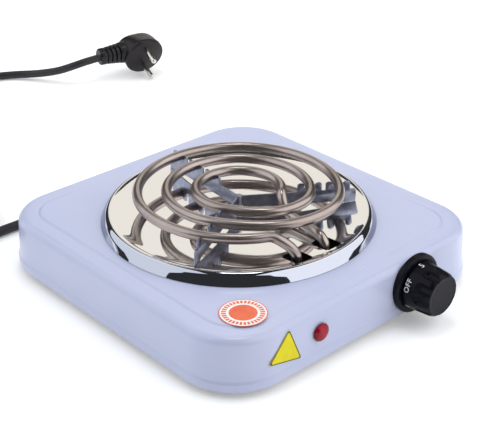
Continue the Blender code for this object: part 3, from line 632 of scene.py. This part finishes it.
def block(name, size, centre, bevel=0.0):
    """A cutter block. A bevel rounds its upright edges."""
    bm = bmesh.new()
    bmesh.ops.create_cube(bm, size=1.0)
    bmesh.ops.scale(bm, vec=size, verts=bm.verts)
    if bevel:
        edges = [e for e in bm.edges if abs(e.verts[0].co.z - e.verts[1].co.z) > 0.5 * size[2]]
        bmesh.ops.bevel(bm, geom=edges, offset=bevel, segments=4, affect="EDGES")
    bmesh.ops.translate(bm, vec=centre, verts=bm.verts)
    return plain(name, bm)


def rod(name, radius, place):
    """A short round cutter, half of it on each side of the place."""
    return plain(name, turn([(0.0, HOLE_DEPTH), (radius, HOLE_DEPTH), (radius, -HOLE_DEPTH),
                             (0.0, -HOLE_DEPTH)], 32, upright(place)))


def sharpen(ob, angle=35.0):
    """Smooth shading with sharp edges where faces meet at more than the angle."""
    ob.data.shade_smooth()
    ob.data.set_sharp_from_angle(angle=math.radians(angle))


def soften(ob, name, width, angle):
    """A fine bevel along the edges where faces meet at more than the angle."""
    bevel = ob.modifiers.new(name, "BEVEL")
    bevel.width = width
    bevel.segments = 2
    bevel.limit_method = "ANGLE"
    bevel.angle_limit = math.radians(angle)
    return bevel


# Housing


def rounded_rectangle(half_x, half_y, radius, per_corner=18, per_side=14):
    """Points round a rectangle from its right side's rear end, anticlockwise."""
    corners = [(1, 1, 0.0), (-1, 1, 90.0), (-1, -1, 180.0), (1, -1, 270.0)]
    points = []
    for n, (sx, sy, start) in enumerate(corners):
        cx, cy = sx * (half_x - radius), sy * (half_y - radius)
        arc = []
        for k in range(per_corner + 1):
            a = math.radians(start + 90.0 * k / per_corner)
            arc.append(Vector((cx + radius * math.cos(a), cy + radius * math.sin(a))))
        points += arc
        nx, ny, begin = corners[(n + 1) % 4]
        a = math.radians(begin)
        after = Vector((nx * (half_x - radius) + radius * math.cos(a),
                        ny * (half_y - radius) + radius * math.sin(a)))
        for k in range(1, per_side):
            points.append(arc[-1].lerp(after, k / per_side))
    return points


def housing_ring(out, z):
    """The case's outline at a height, moved outwards."""
    points = rounded_rectangle(HALF_WIDTH + out, HALF_DEPTH + out, CORNER_RADIUS + out)
    return [ORIGIN + Vector((p.x, p.y, z)) for p in points]


def make_housing(mats):
    """The case, from the hem up the wall, over the edge and in to the round opening."""
    rows = [housing_ring(HEM_OUT - 0.0004, 0.0), housing_ring(HEM_OUT, 0.0004),
            housing_ring(HEM_OUT, HEM_HEIGHT), housing_ring(HEM_OUT - 0.0001, 0.0055),
            housing_ring(DRAFT + 0.0003, 0.0064), housing_ring(DRAFT, 0.0074),
            housing_ring(0.75 * DRAFT, 0.0132), housing_ring(0.35 * DRAFT, 0.0225),
            housing_ring(0.0, HOUSING_HEIGHT - EDGE_RADIUS)]
    for k in range(1, 9):
        a = math.radians(90.0 * k / 8)
        rows.append(housing_ring(-EDGE_RADIUS * (1 - math.cos(a)),
                                 HOUSING_HEIGHT - EDGE_RADIUS + EDGE_RADIUS * math.sin(a)))
    rows.append(housing_ring(-0.0080, HOUSING_HEIGHT))
    rows.append(housing_ring(-0.0134, HOUSING_HEIGHT))
    for k in range(7):
        t = k / 6
        rows.append(housing_ring(-PANEL_STEP_IN - PANEL_STEP_WIDTH * t, HOUSING_HEIGHT
                                 + (PANEL_TOP - HOUSING_HEIGHT) * smoothstep(t)))
    rows.append(housing_ring(-0.0162, PANEL_TOP))
    outline = rows[-1]
    for radius in (0.0960, 0.0850):
        ring = []
        for p in outline:
            a = math.atan2(p.y - ORIGIN.y, p.x - ORIGIN.x)
            ring.append(Vector((BURNER.x + radius * math.cos(a), BURNER.y + radius * math.sin(a),
                                ORIGIN.z + PANEL_TOP)))
        rows.append(ring)
    bm = bmesh.new()
    skin(bm, rows)
    shell = to_object("housing_case", bm, mats["enamel"], slot="white_enamel")
    thick = shell.modifiers.new("sheet", "SOLIDIFY")
    thick.thickness = CASE_SHEET
    thick.offset = -1.0
    thick.use_even_offset = True
    lead_exit = Vector((LEAD_ROUTE[0][0], ORIGIN.y + HALF_DEPTH, LEAD_ROUTE[0][2]))
    holes = [rod("hole", radius, place) for place, radius in
             ((KNOB_AXIS, SPINDLE_HOLE), (LAMP_AXIS, LAMP_HOLE), (lead_exit, LEAD_HOLE))]
    cut_away(shell, holes)
    sharpen(shell, 40.0)
    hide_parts("housing_shell")


# Burner


def dish_height(radius):
    """The bowl's height above the hem at a distance from the burner's axis."""
    past = max(radius - DISH_RADIUS, 0.0) / (CREST_RADIUS - DISH_RADIUS)
    return DISH_BOTTOM + DISH_RISE * (radius / DISH_RADIUS) ** 2 + CREST_RISE * past ** 2


def make_bowl(mats):
    """The bowl with its two leg openings, and the screw in its middle."""
    crest = dish_height(CREST_RADIUS)
    rim = rounded([(RIM_RADIUS, PANEL_TOP + 0.0003), (RIM_RADIUS - 0.0009, 0.0378),
                   (RIM_RADIUS - 0.0020, 0.0400), (RIM_RADIUS - 0.0034, 0.0420),
                   (RIM_RADIUS - 0.0046, 0.0430), (CREST_RADIUS, crest + 0.0001),
                   (0.0845, dish_height(0.0845))], 0.0009, 5)
    profile = rim + [(r * MM, dish_height(r * MM)) for r in range(83, 3, -2)]
    profile.append((BOWL_HOLE, dish_height(BOWL_HOLE)))
    # The rim's underside is also moved inwards, the dish's only down
    inner = [(max(r - BOWL_SHEET if z < 0.0425 and r > 0.0870 else r, BOWL_HOLE), z - BOWL_SHEET)
             for r, z in profile]
    inner[0] = (profile[0][0] - BOWL_SHEET, profile[0][1])
    bm = turn(profile + list(reversed(inner)), 192, Matrix.Translation(BURNER), closed=True)
    bowl = to_object("polished_bowl", bm, mats["chrome"], slot="chrome")
    holes = [block("leg_hole", LEG_HOLE_SIZE, BURNER + Vector((*centre, 0.038)), 0.0012)
             for centre in LEG_HOLES]
    cut_away(bowl, holes)
    sharpen(bowl, 32.0)
    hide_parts("drip_bowl")

    head = DISH_BOTTOM + 0.0003
    profile = [(0.0, head + 0.0021), (0.0016, head + 0.0020), (0.0030, head + 0.0015),
               (0.0039, head + 0.0007), (0.0040, head), (0.0019, head), (0.0019, 0.0256),
               (0.0, 0.0256)]
    screw = to_object("centre_screw", turn(profile, 40, Matrix.Translation(BURNER)),
                      mats["zinc"], slot="zinc_steel")
    slots = [block("slot", size, BURNER + Vector((0.0, 0.0, head + 0.0022)))
             for size in ((0.0042, 0.0008, 0.0016), (0.0008, 0.0043, 0.0017))]
    cut_away(screw, slots)
    sharpen(screw)
    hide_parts("bowl_screw")


def ring_radius(turns):
    """The spiral's radius, which steps inwards once a turn between the two change azimuths."""
    change_at = [((COIL_START - a) % 360.0) / 360.0 for a in RING_CHANGE]
    start, length = change_at[0], (RING_CHANGE[0] - RING_CHANGE[1]) / 360.0
    radius = RING_RADII[0]
    for k in range(1, len(RING_RADII)):
        t = clamp((turns - (start + k - 1)) / length)
        radius += (RING_RADII[k] - RING_RADII[k - 1]) * smoothstep(t)
    return radius


def coil_route():
    """Up the first leg, round the spiral to its middle, and down to the second leg."""
    leg_one = [(*LEG_ONE, 0.0200), (-0.0171, -0.0733, 0.0350), (-0.0176, -0.0731, 0.0405),
               (-0.0188, -0.0725, 0.0450), (-0.0212, -0.0704, 0.0492), (-0.0244, -0.0663, 0.0526),
               (-0.0268, -0.0627, 0.0545)]
    last_turn = ((COIL_START - RING_CHANGE[0]) % 360.0 + 720.0) / 360.0
    spiral = []
    for k in range(161):
        turns = last_turn * k / 160
        a = math.radians(COIL_START - 360.0 * turns)
        r = ring_radius(turns)
        spiral.append((r * math.cos(a), r * math.sin(a), TUBE_HEIGHT))
    leg_two = [(0.0156, -0.0252, 0.0536), (0.0145, -0.0284, 0.0499), (0.0142, -0.0318, 0.0466),
               (0.0138, -0.0380, 0.0444), (0.0124, -0.0500, 0.0440), (0.0108, -0.0620, 0.0440),
               (0.0100, -0.0675, 0.0426), (0.0096, -0.0707, 0.0390), (*LEG_TWO, 0.0340),
               (*LEG_TWO, 0.0200)]
    return [BURNER + Vector(p) for p in leg_one + spiral + leg_two]


def make_coil(mats):
    """One tube of even thickness, with slightly rounded ends."""
    path = smooth_path(coil_route(), 0.0016)
    count = len(path) - 1
    stations = [(0.0, 0.0), (0.0, TUBE_RADIUS - 0.0004), (0.3 / count, TUBE_RADIUS)]
    stations += [(k / count, TUBE_RADIUS) for k in range(1, count)]
    stations += [(1.0 - 0.3 / count, TUBE_RADIUS), (1.0, TUBE_RADIUS - 0.0004), (1.0, 0.0)]
    bm = bmesh.new()
    skin(bm, sweep(path, stations, 28))
    coil = to_object("spiral_element", bm, mats["element"], slot="element_steel")
    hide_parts("heating_coil")


def arm_outline(azimuth, notches):
    """A support arm seen from its side, with a rounded tooth on each side of a notch."""
    start, notch, round_top = 0.0030, TUBE_RADIUS + 0.0004, 0.0022
    notch_middle = TUBE_HEIGHT - 0.0004
    seat = TUBE_HEIGHT - TUBE_RADIUS - 0.0002
    outline = [(start, ARM_BELLY), (0.0690, ARM_BELLY)]
    outline += [(r, dish_height(r) + 0.0004) for r in (0.0720, 0.0755, ARM_TIP)]
    for k in range(5):
        a = math.radians(22.5 * k)
        outline.append((ARM_TIP - 0.0014 + 0.0014 * math.cos(a),
                        ARM_BACK - 0.0014 + 0.0014 * math.sin(a)))
    for k in range(notches):
        radius = ring_radius(((COIL_START - azimuth) % 360.0) / 360.0 + k)
        for side in (1, -1):
            middle = radius + side * (notch + round_top)
            arc = [(middle + round_top * math.cos(math.radians(22.5 * n)),
                    TOOTH_TOP - 0.0016 + 0.0016 * math.sin(math.radians(22.5 * n)))
                   for n in range(9)]
            if side == 1:
                outline += [(middle + round_top, ARM_BACK)] + arc
                for n in range(9):
                    a = math.radians(-180.0 * n / 8)
                    outline.append((radius + notch * math.cos(a),
                                    notch_middle + math.sin(a) * (notch_middle - seat)))
            else:
                outline += arc + [(middle - round_top, ARM_BACK)]
    outline.append((start, ARM_BACK))
    return outline


def make_arms(mats):
    """Three strips on edge, and the post they meet at."""
    names = {"arm_right": "support_arm_right", "arm_rear": "support_arm_rear",
             "arm_front": "support_arm_front"}
    for (name, cad), azimuth, notches in zip(names.items(), ARM_AZIMUTHS, ARM_NOTCHES):
        data = bpy.data.curves.new(name, "CURVE")
        data.dimensions = "2D"
        data.fill_mode = "BOTH"
        data.extrude = STRIP_HALF
        data.bevel_depth = STRIP_BEVEL
        data.bevel_resolution = 1
        outline = arm_outline(azimuth, notches)
        spline = data.splines.new("POLY")
        spline.points.add(len(outline) - 1)
        for point, (x, y) in zip(spline.points, outline):
            point.co = (x, y, 0.0, 1.0)
        spline.use_cyclic_u = True
        bm = curve_shape(name, data, 0.000005)
        place = (Matrix.Translation(BURNER) @ Matrix.Rotation(math.radians(azimuth), 4, "Z")
                 @ Matrix.Rotation(math.radians(90.0), 4, "X"))
        bmesh.ops.transform(bm, matrix=place, verts=bm.verts)
        arm = to_object(name, bm, mats["galvanised"], smooth=30.0, slot="galvanised_steel")
        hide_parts(cad)
    profile = rounded([(0.0, ARM_BACK + 0.0005), (0.0024, ARM_BACK + 0.0005),
                       (0.0024, ARM_BELLY - 0.0005), (0.0, ARM_BELLY - 0.0005)], 0.0003)
    hub = to_object("hub_post", turn(profile, 32, Matrix.Translation(BURNER)),
                    mats["galvanised"], slot="galvanised_steel")
    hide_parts("support_hub")


# Controls


def knob_radius(out):
    """The knob's radius at a distance out from the front wall."""
    for (d0, r0), (d1, r1) in zip(KNOB_TAPER, KNOB_TAPER[1:]):
        if out <= d1:
            return r0 + (r1 - r0) * (out - d0) / (d1 - d0)
    return KNOB_TAPER[-1][1]


def make_knob(mats):
    """A tapered knob with a raised rim at its front and flutes down its side."""
    place = upright(KNOB_AXIS)
    top = KNOB_TOP
    outer = [(0.0, top - 0.0002), (0.0110, top - 0.0002), (0.0128, top), (0.0134, top - 0.0002),
             (0.0142, top - 0.0014), (0.0148, top - 0.0030), (0.0154, 0.0140),
             (KNOB_SKIRT_RADIUS, 0.0060), (0.0158, 0.0049), (0.0094, 0.0049), (0.0094, 0.0082),
             (0.0032, 0.0082), (0.0032, 0.0190), (0.0, 0.0190)]
    knob = to_object("fluted_knob", turn(rounded(outer, 0.0005, 3), 160, place), mats["black"],
                     "knob", slot="black_plastic")
    # Each flute ends towards the wall in a half ball
    profile = []
    for step in range(9):
        b = math.radians(90.0 * step / 8)
        profile.append((FLUTE_RADIUS * math.sin(b), 0.0160 - FLUTE_RADIUS * math.cos(b)))
    profile += [(FLUTE_RADIUS, 0.0290), (0.0, 0.0290)]
    flutes = []
    for k in range(FLUTES):
        a = math.radians(FLUTE_AZIMUTH + 360.0 / FLUTES * k)
        centre = Matrix.Translation((KNOB_SKIRT_RADIUS * math.cos(a),
                                     KNOB_SKIRT_RADIUS * math.sin(a), 0.0))
        flutes.append(plain("flute", turn(profile, 40, place @ centre)))
    cut_away(knob, flutes)
    sharpen(knob, 28.0)
    soften(knob, "soft_edges", 0.00018, 35.0).harden_normals = True
    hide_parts("knob")


def make_marks(mats):
    """Raised marks, bent round the knob's skirt."""
    place = upright(KNOB_AXIS)
    marks = (("OFF", 157.0, 0.0034), ("1", 217.0, 0.0038), ("2", 277.0, 0.0038),
             ("3", 337.0, 0.0038), ("4", 37.0, 0.0038), ("5", 97.0, 0.0038))
    for n, (text, azimuth, size) in enumerate(marks):
        data = bpy.data.curves.new("mark", "FONT")
        data.body = text
        data.size = size / CAP_HEIGHT
        data.extrude = 0.00003
        data.offset = 0.00007
        data.align_x = "CENTER"
        data.space_character = 1.12
        bm = curve_shape("mark", data, 0.000002)
        bmesh.ops.triangulate(bm, faces=bm.faces)
        long_edges = [e for e in bm.edges if e.calc_length() > 0.0006]
        bmesh.ops.subdivide_edges(bm, edges=long_edges, cuts=2)
        bmesh.ops.triangulate(bm, faces=bm.faces)
        for v in bm.verts:
            out = MARK_MIDDLE - v.co.y
            radius = knob_radius(out) + MARK_LIFT + v.co.z
            a = math.radians(azimuth) - v.co.x / knob_radius(out)
            v.co = (radius * math.cos(a), radius * math.sin(a), out)
        bmesh.ops.transform(bm, matrix=place, verts=bm.verts)
        to_object("knob_mark_%d" % n, bm, mats["print"], "knob", slot="black_plastic")


def make_bezel(mats):
    """The collar behind the knob, cut to the front wall's shape."""
    place = upright(KNOB_AXIS)
    bezel = to_object("knob_collar", turn(rounded(
        [(0.0050, 0.0041), (0.0165, 0.0041), (0.0172, 0.0046), (0.0189, 0.0046),
         (0.0199, 0.0038), (0.0199, -0.0010), (0.0050, -0.0010)], 0.0004, 3)
        + [(0.0050, 0.0041)], 120, place), mats["black"], slot="black_plastic")
    low = -KNOB_HEIGHT
    outline = [(-0.0040, low - 0.0040), (HEM_OUT + 0.0002, low - 0.0040),
               (HEM_OUT + 0.0002, low + 0.0058), (DRAFT + 0.0002, low + 0.0075),
               (0.0002, low + 0.0306), (0.0002, 0.0250), (-0.0040, 0.0250)]
    bm = bmesh.new()
    rows = [[Vector((x, up, out)) for out, up in outline] for x in (-0.025, 0.025)]
    made = skin(bm, rows)
    bm.faces.new(made[0])
    bm.faces.new(made[1])
    bmesh.ops.transform(bm, matrix=place, verts=bm.verts)
    cut_away(bezel, [plain("wall_shape", bm)])
    sharpen(bezel, 32.0)
    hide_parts("knob_bezel")


def make_lamp(mats):
    """A domed lens with flat facets."""
    profile = [(0.0, 0.0036), (0.0016, 0.0036), (0.0032, 0.0035), (0.0046, 0.0032),
               (0.0055, 0.0026), (0.0060, 0.0020), (0.0060, 0.0010), (0.0043, 0.0010),
               (0.0043, -0.0060), (0.0, -0.0060)]
    lens = to_object("lamp_lens", turn(profile, LENS_FACETS, upright(LAMP_AXIS)), mats["lens"],
                     smooth=None, slot="red_lens")
    soften(lens, "soft_facets", 0.00016, 12.0)
    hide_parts("indicator_lens")


def make_round_label(mats):
    """An edge ring, a band of dashes and a disc, in colour on white."""
    centre = ORIGIN + Vector((*ROUND_LABEL, PANEL_TOP + LABEL_LIFT))
    edge, edge_inside, dash_outside, dash_inside, disc = ROUND_LABEL_RADII
    bm = bmesh.new()
    rows = [[Vector((0.0, 0.0, 0.0))], circle(edge, 0.0, ROUND_LABEL_STEPS)]
    rows += [circle(r, LABEL_THICK, ROUND_LABEL_STEPS) for r in ROUND_LABEL_RADII]
    rows.append([Vector((0.0, 0.0, LABEL_THICK))])
    skin(bm, rows)
    bmesh.ops.translate(bm, vec=centre, verts=bm.verts)
    for face in bm.faces:
        place = face.calc_center_median() - centre
        away = place.xy.length
        step = int(math.atan2(place.y, place.x) % math.tau / math.tau * ROUND_LABEL_STEPS)
        dash = step % 3 > 0 and dash_inside < away < dash_outside
        face.material_index = int(away > edge_inside or away < disc or dash)
    label = to_object("round_sticker", bm, [mats["label_white"], mats["label_orange"]],
                      slot="orange_label")
    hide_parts("round_label")


def make_triangle_label(mats):
    """A triangle with blunt corners and a dark edge."""
    lean = math.atan2(DRAFT, WALL_RISE)
    wall = ORIGIN + Vector((0.0, -HALF_DEPTH - 0.5 * DRAFT - LABEL_LIFT, 0.0190))
    place = Matrix.Translation(wall) @ Matrix.Rotation(math.radians(90.0) - lean, 4, "X")
    corners = [Vector(corner) for corner in TRIANGLE_CORNERS]
    middle = sum(corners, Vector((0.0, 0.0))) / 3
    bm = bmesh.new()
    rows = []
    for scale in (1.0, 0.985, 0.89):
        ring = []
        for n, corner in enumerate(corners):
            before, after = corners[n - 1], corners[(n + 1) % 3]
            for k in range(5):
                t = (k / 4 - 0.5) * 2 * TRIANGLE_BLUNTNESS
                point = corner.lerp(after if t > 0 else before, abs(t))
                point = point.lerp(middle, TRIANGLE_BLUNTNESS * (1 - abs(t) / TRIANGLE_BLUNTNESS))
                ring.append(middle + (point - middle) * scale)
        rows.append([Vector((p.x, p.y, TRIANGLE_THICK)) for p in ring])
    rows.insert(0, [Vector((p.x, p.y, 0.0)) for p in rows[0]])
    made = skin(bm, rows)
    bm.faces.new(made[0])
    inside = bm.faces.new(made[-1])
    border = made[-2] + made[-1]
    for face in bm.faces:
        face.material_index = int(face != inside and all(v in border for v in face.verts))
    bmesh.ops.transform(bm, matrix=place, verts=bm.verts)
    label = to_object("triangle_sticker", bm, [mats["label_yellow"], mats["label_dark"]],
                      slot="yellow_label")
    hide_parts("triangle_label")


# Cord, plug and the pieces that keep their CAD shape


def coil_turns():
    """The stored length: a wide turn on the surface that closes in and climbs onto itself."""
    points = []
    cx, cy = CORD_LOOP_CENTRE
    low, high = 0.0049, 0.0119
    for k in range(COIL_POINTS + 1):
        travel = COIL_TRAVEL * k / COIL_POINTS
        closing = smoothstep(clamp((travel - 180.0) / 65.0))
        climbing = smoothstep(clamp((travel - 495.0) / 45.0))
        r = CORD_LOOP_RADIUS + FIRST_TURN_WIDER * (1.0 - closing)
        a = math.radians(-90.0 - travel)
        points.append((cx + r * math.cos(a), cy + r * math.sin(a),
                       low + (high - low) * climbing))
    points.append((-0.1348, 0.2498, high))
    return points


def make_cord(mats):
    """The whole lead from the strain relief to the plug. Returns it and its length."""
    route = LEAD_ROUTE + coil_turns() + PLUG_ROUTE
    path = smooth_path(route, 0.006)
    path = [Vector((p.x, p.y, max(p.z, CORD_RADIUS + 0.0001))) for p in path]
    path = path[next(i for i, p in enumerate(path) if p.y > LEAD_START_Y):]
    data = bpy.data.curves.new("mains_lead", "CURVE")
    data.dimensions = "3D"
    data.bevel_depth = CORD_RADIUS
    data.bevel_resolution = 6
    data.use_fill_caps = True
    spline = data.splines.new("POLY")
    spline.points.add(len(path) - 1)
    for point, p in zip(spline.points, path):
        point.co = (*p, 1.0)
    spline.use_smooth = True
    data.materials.append(mats["cord"])
    cord = add_object("mains_lead", data)
    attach(cord, "housing")
    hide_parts("power_cord", "plug_cord", "cord_coil")
    return cord, sum((b - a).length for a, b in zip(path, path[1:]))


def make_relief(mats):
    """The ribbed sleeve where the lead leaves the rear wall."""
    route = smooth_path(LEAD_ROUTE, 0.0015)
    start = next(i for i, p in enumerate(route) if p.y > RELIEF_START_Y)
    end = next(i for i, p in enumerate(route) if p.x < RELIEF_END_X)
    stations = [(0.0, 0.0057), (0.16, 0.0057), (0.17, 0.0072), (0.25, 0.0072), (0.26, 0.0055)]
    for k in range(RELIEF_RIBS):
        t = 0.32 + 0.105 * k
        r = 0.0055 - 0.0010 * t
        stations += [(t, r), (t + 0.008, r - 0.0007), (t + 0.040, r - 0.0007), (t + 0.048, r)]
    stations += [(0.99, 0.0045), (1.0, 0.0042), (1.0, 0.0037), (0.0, 0.0037)]
    bm = bmesh.new()
    skin(bm, sweep(route[start:end], stations, 36), closed=True)
    relief = to_object("lead_relief", bm, mats["plug"], slot="black_plastic")
    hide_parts("strain_relief")
    return relief


def plug_matrix():
    """The plug's frame: Z along the pins, X away along the lead, origin in its face."""
    pins = Vector(PLUG_PIN_WAY).normalized()
    way = Vector(PLUG_CORD_WAY)
    way = (way - way.dot(pins) * pins).normalized()
    across = pins.cross(way)
    place = Matrix((way, across, pins)).transposed().to_4x4()
    place.translation = Vector(PLUG_FACE)
    return place


def make_plug(mats):
    """The moulding with its side arm, and two pins."""
    place = plug_matrix()
    # Height behind the face, reach away from the lead, reach towards it, half width, squareness
    sections = [
        (0.0, 0.0178, 0.0178, 0.0178, 2.0), (0.0006, 0.0186, 0.0186, 0.0186, 2.0),
        (0.0014, 0.0190, 0.0190, 0.0190, 2.0), (0.0044, 0.0190, 0.0190, 0.0190, 2.0),
        (0.0050, 0.0187, 0.0187, 0.0186, 2.0), (0.0054, 0.0180, 0.0180, 0.0178, 2.1),
        (0.0090, 0.0176, 0.0176, 0.0162, 2.3), (0.0150, 0.0168, 0.0174, 0.0138, 2.5),
        (0.0200, 0.0156, 0.0176, 0.0116, 2.6), (0.0228, 0.0142, 0.0172, 0.0100, 2.6),
        (0.0244, 0.0122, 0.0150, 0.0080, 2.4), (0.0252, 0.0096, 0.0110, 0.0056, 2.2),
    ]
    rows = [[Vector((0.0, 0.0, 0.0))]]
    for height, far, near, wide, power in sections:
        rows.append([Vector((x * (near if x > 0 else far), y * wide, -height))
                     for x, y in squared_circle(72, power)])
    rows.append([Vector((0.0005, 0.0, -0.0254))])
    bm = bmesh.new()
    skin(bm, rows)
    bmesh.ops.transform(bm, matrix=place, verts=bm.verts)
    body = to_object("plug_moulding", bm, mats["plug"], slot="black_plastic")

    # The arm that holds the lead: distance from the plug's axis, half height, half width
    axis = PLUG_ARM_HEIGHT
    stations = [(0.0060, 0.0094, 0.0100), (0.0160, 0.0092, 0.0098), (0.0215, 0.0088, 0.0090)]
    for k in range(4):
        x = 0.0222 + 0.0042 * k
        shrink = 0.0004 * k
        stations += [(x, 0.0086 - shrink, 0.0086 - shrink), (x + 0.0002, 0.0062, 0.0062),
                     (x + 0.0014, 0.0062, 0.0062), (x + 0.0016, 0.0085 - shrink, 0.0085 - shrink)]
    stations += [(0.0412, 0.0072, 0.0072), (0.0420, 0.0066, 0.0066)]
    rows = [[Vector((0.0060, 0.0, axis))]]
    rows += [[Vector((x, y * wide, axis + z * tall)) for y, z in squared_circle(48, 2.6)]
             for x, tall, wide in stations]
    rows.append([Vector((0.0420, 0.0, axis))])
    bm = bmesh.new()
    skin(bm, rows)
    bmesh.ops.transform(bm, matrix=place, verts=bm.verts)
    cut_away(body, [plain("arm", bm)], "UNION")
    sharpen(body, 38.0)
    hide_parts("plug_body")
    pins = []
    profile = [(0.0, 0.0190), (0.0009, 0.0189), (0.0017, 0.0184), (0.0022, 0.0176),
               (0.0024, 0.0166), (0.0024, 0.0003), (0.0, 0.0003)]
    for name, side, cad in (("pin_upper", 1, "plug_pin_upper"),
                            ("pin_lower", -1, "plug_pin_lower")):
        shift = Matrix.Translation((0, side * PIN_OFFSET, 0))
        pin = to_object(name, turn(profile, 40, place @ shift), mats["nickel"],
                        slot="nickel_pin")
        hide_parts(cad)
        pins.append(pin)
    return [body] + pins


def dress_nodes(mats):
    """Materials for the pieces that keep their CAD shape."""
    looks = {
        "zinc": ("base_plate", "left_rail", "right_rail", "bowl_strap", "bowl_nut", "bush_nut",
                 "foot_screw_front_left", "foot_screw_front_right", "foot_screw_rear_left",
                 "foot_screw_rear_right", "terminal_pin_one", "terminal_pin_two",
                 "control_spindle", "thermostat_bracket", "lamp_clip", "clamp_screw"),
        "brass": ("thermostat_bush", "contact_leaf", "fixed_leaf", "earth_screw"),
        "galvanised": ("bimetal_blade",),
        "ceramic": ("terminal_seal_one", "terminal_seal_two", "ceramic_stack", "adjuster_pin",
                    "lamp_body"),
        "rubber": ("foot_front_left", "foot_front_right", "foot_rear_left", "foot_rear_right"),
        "black": ("cord_clamp",),
        "cord": ("cord_sheath",),
        "plug": ("cord_tie",),
        "brown": ("live_wire", "switched_wire", "lamp_lead_one"),
        "blue": ("neutral_wire", "lamp_lead_two"),
        "earth": ("earth_wire",),
    }
    for key, names in looks.items():
        for name in names:
            ob = NODES[name]
            ob.data.materials.clear()
            ob.data.materials.append(mats[key])


make_camera()
mats = make_materials()
make_studio()
make_housing(mats)
make_bowl(mats)
make_coil(mats)
make_arms(mats)
make_knob(mats)
make_marks(mats)
make_bezel(mats)
make_lamp(mats)
make_round_label(mats)
make_triangle_label(mats)
dress_nodes(mats)
cord, cord_length = make_cord(mats)
relief = make_relief(mats)
plug_pieces = make_plug(mats)

print("cord length", cord_length)
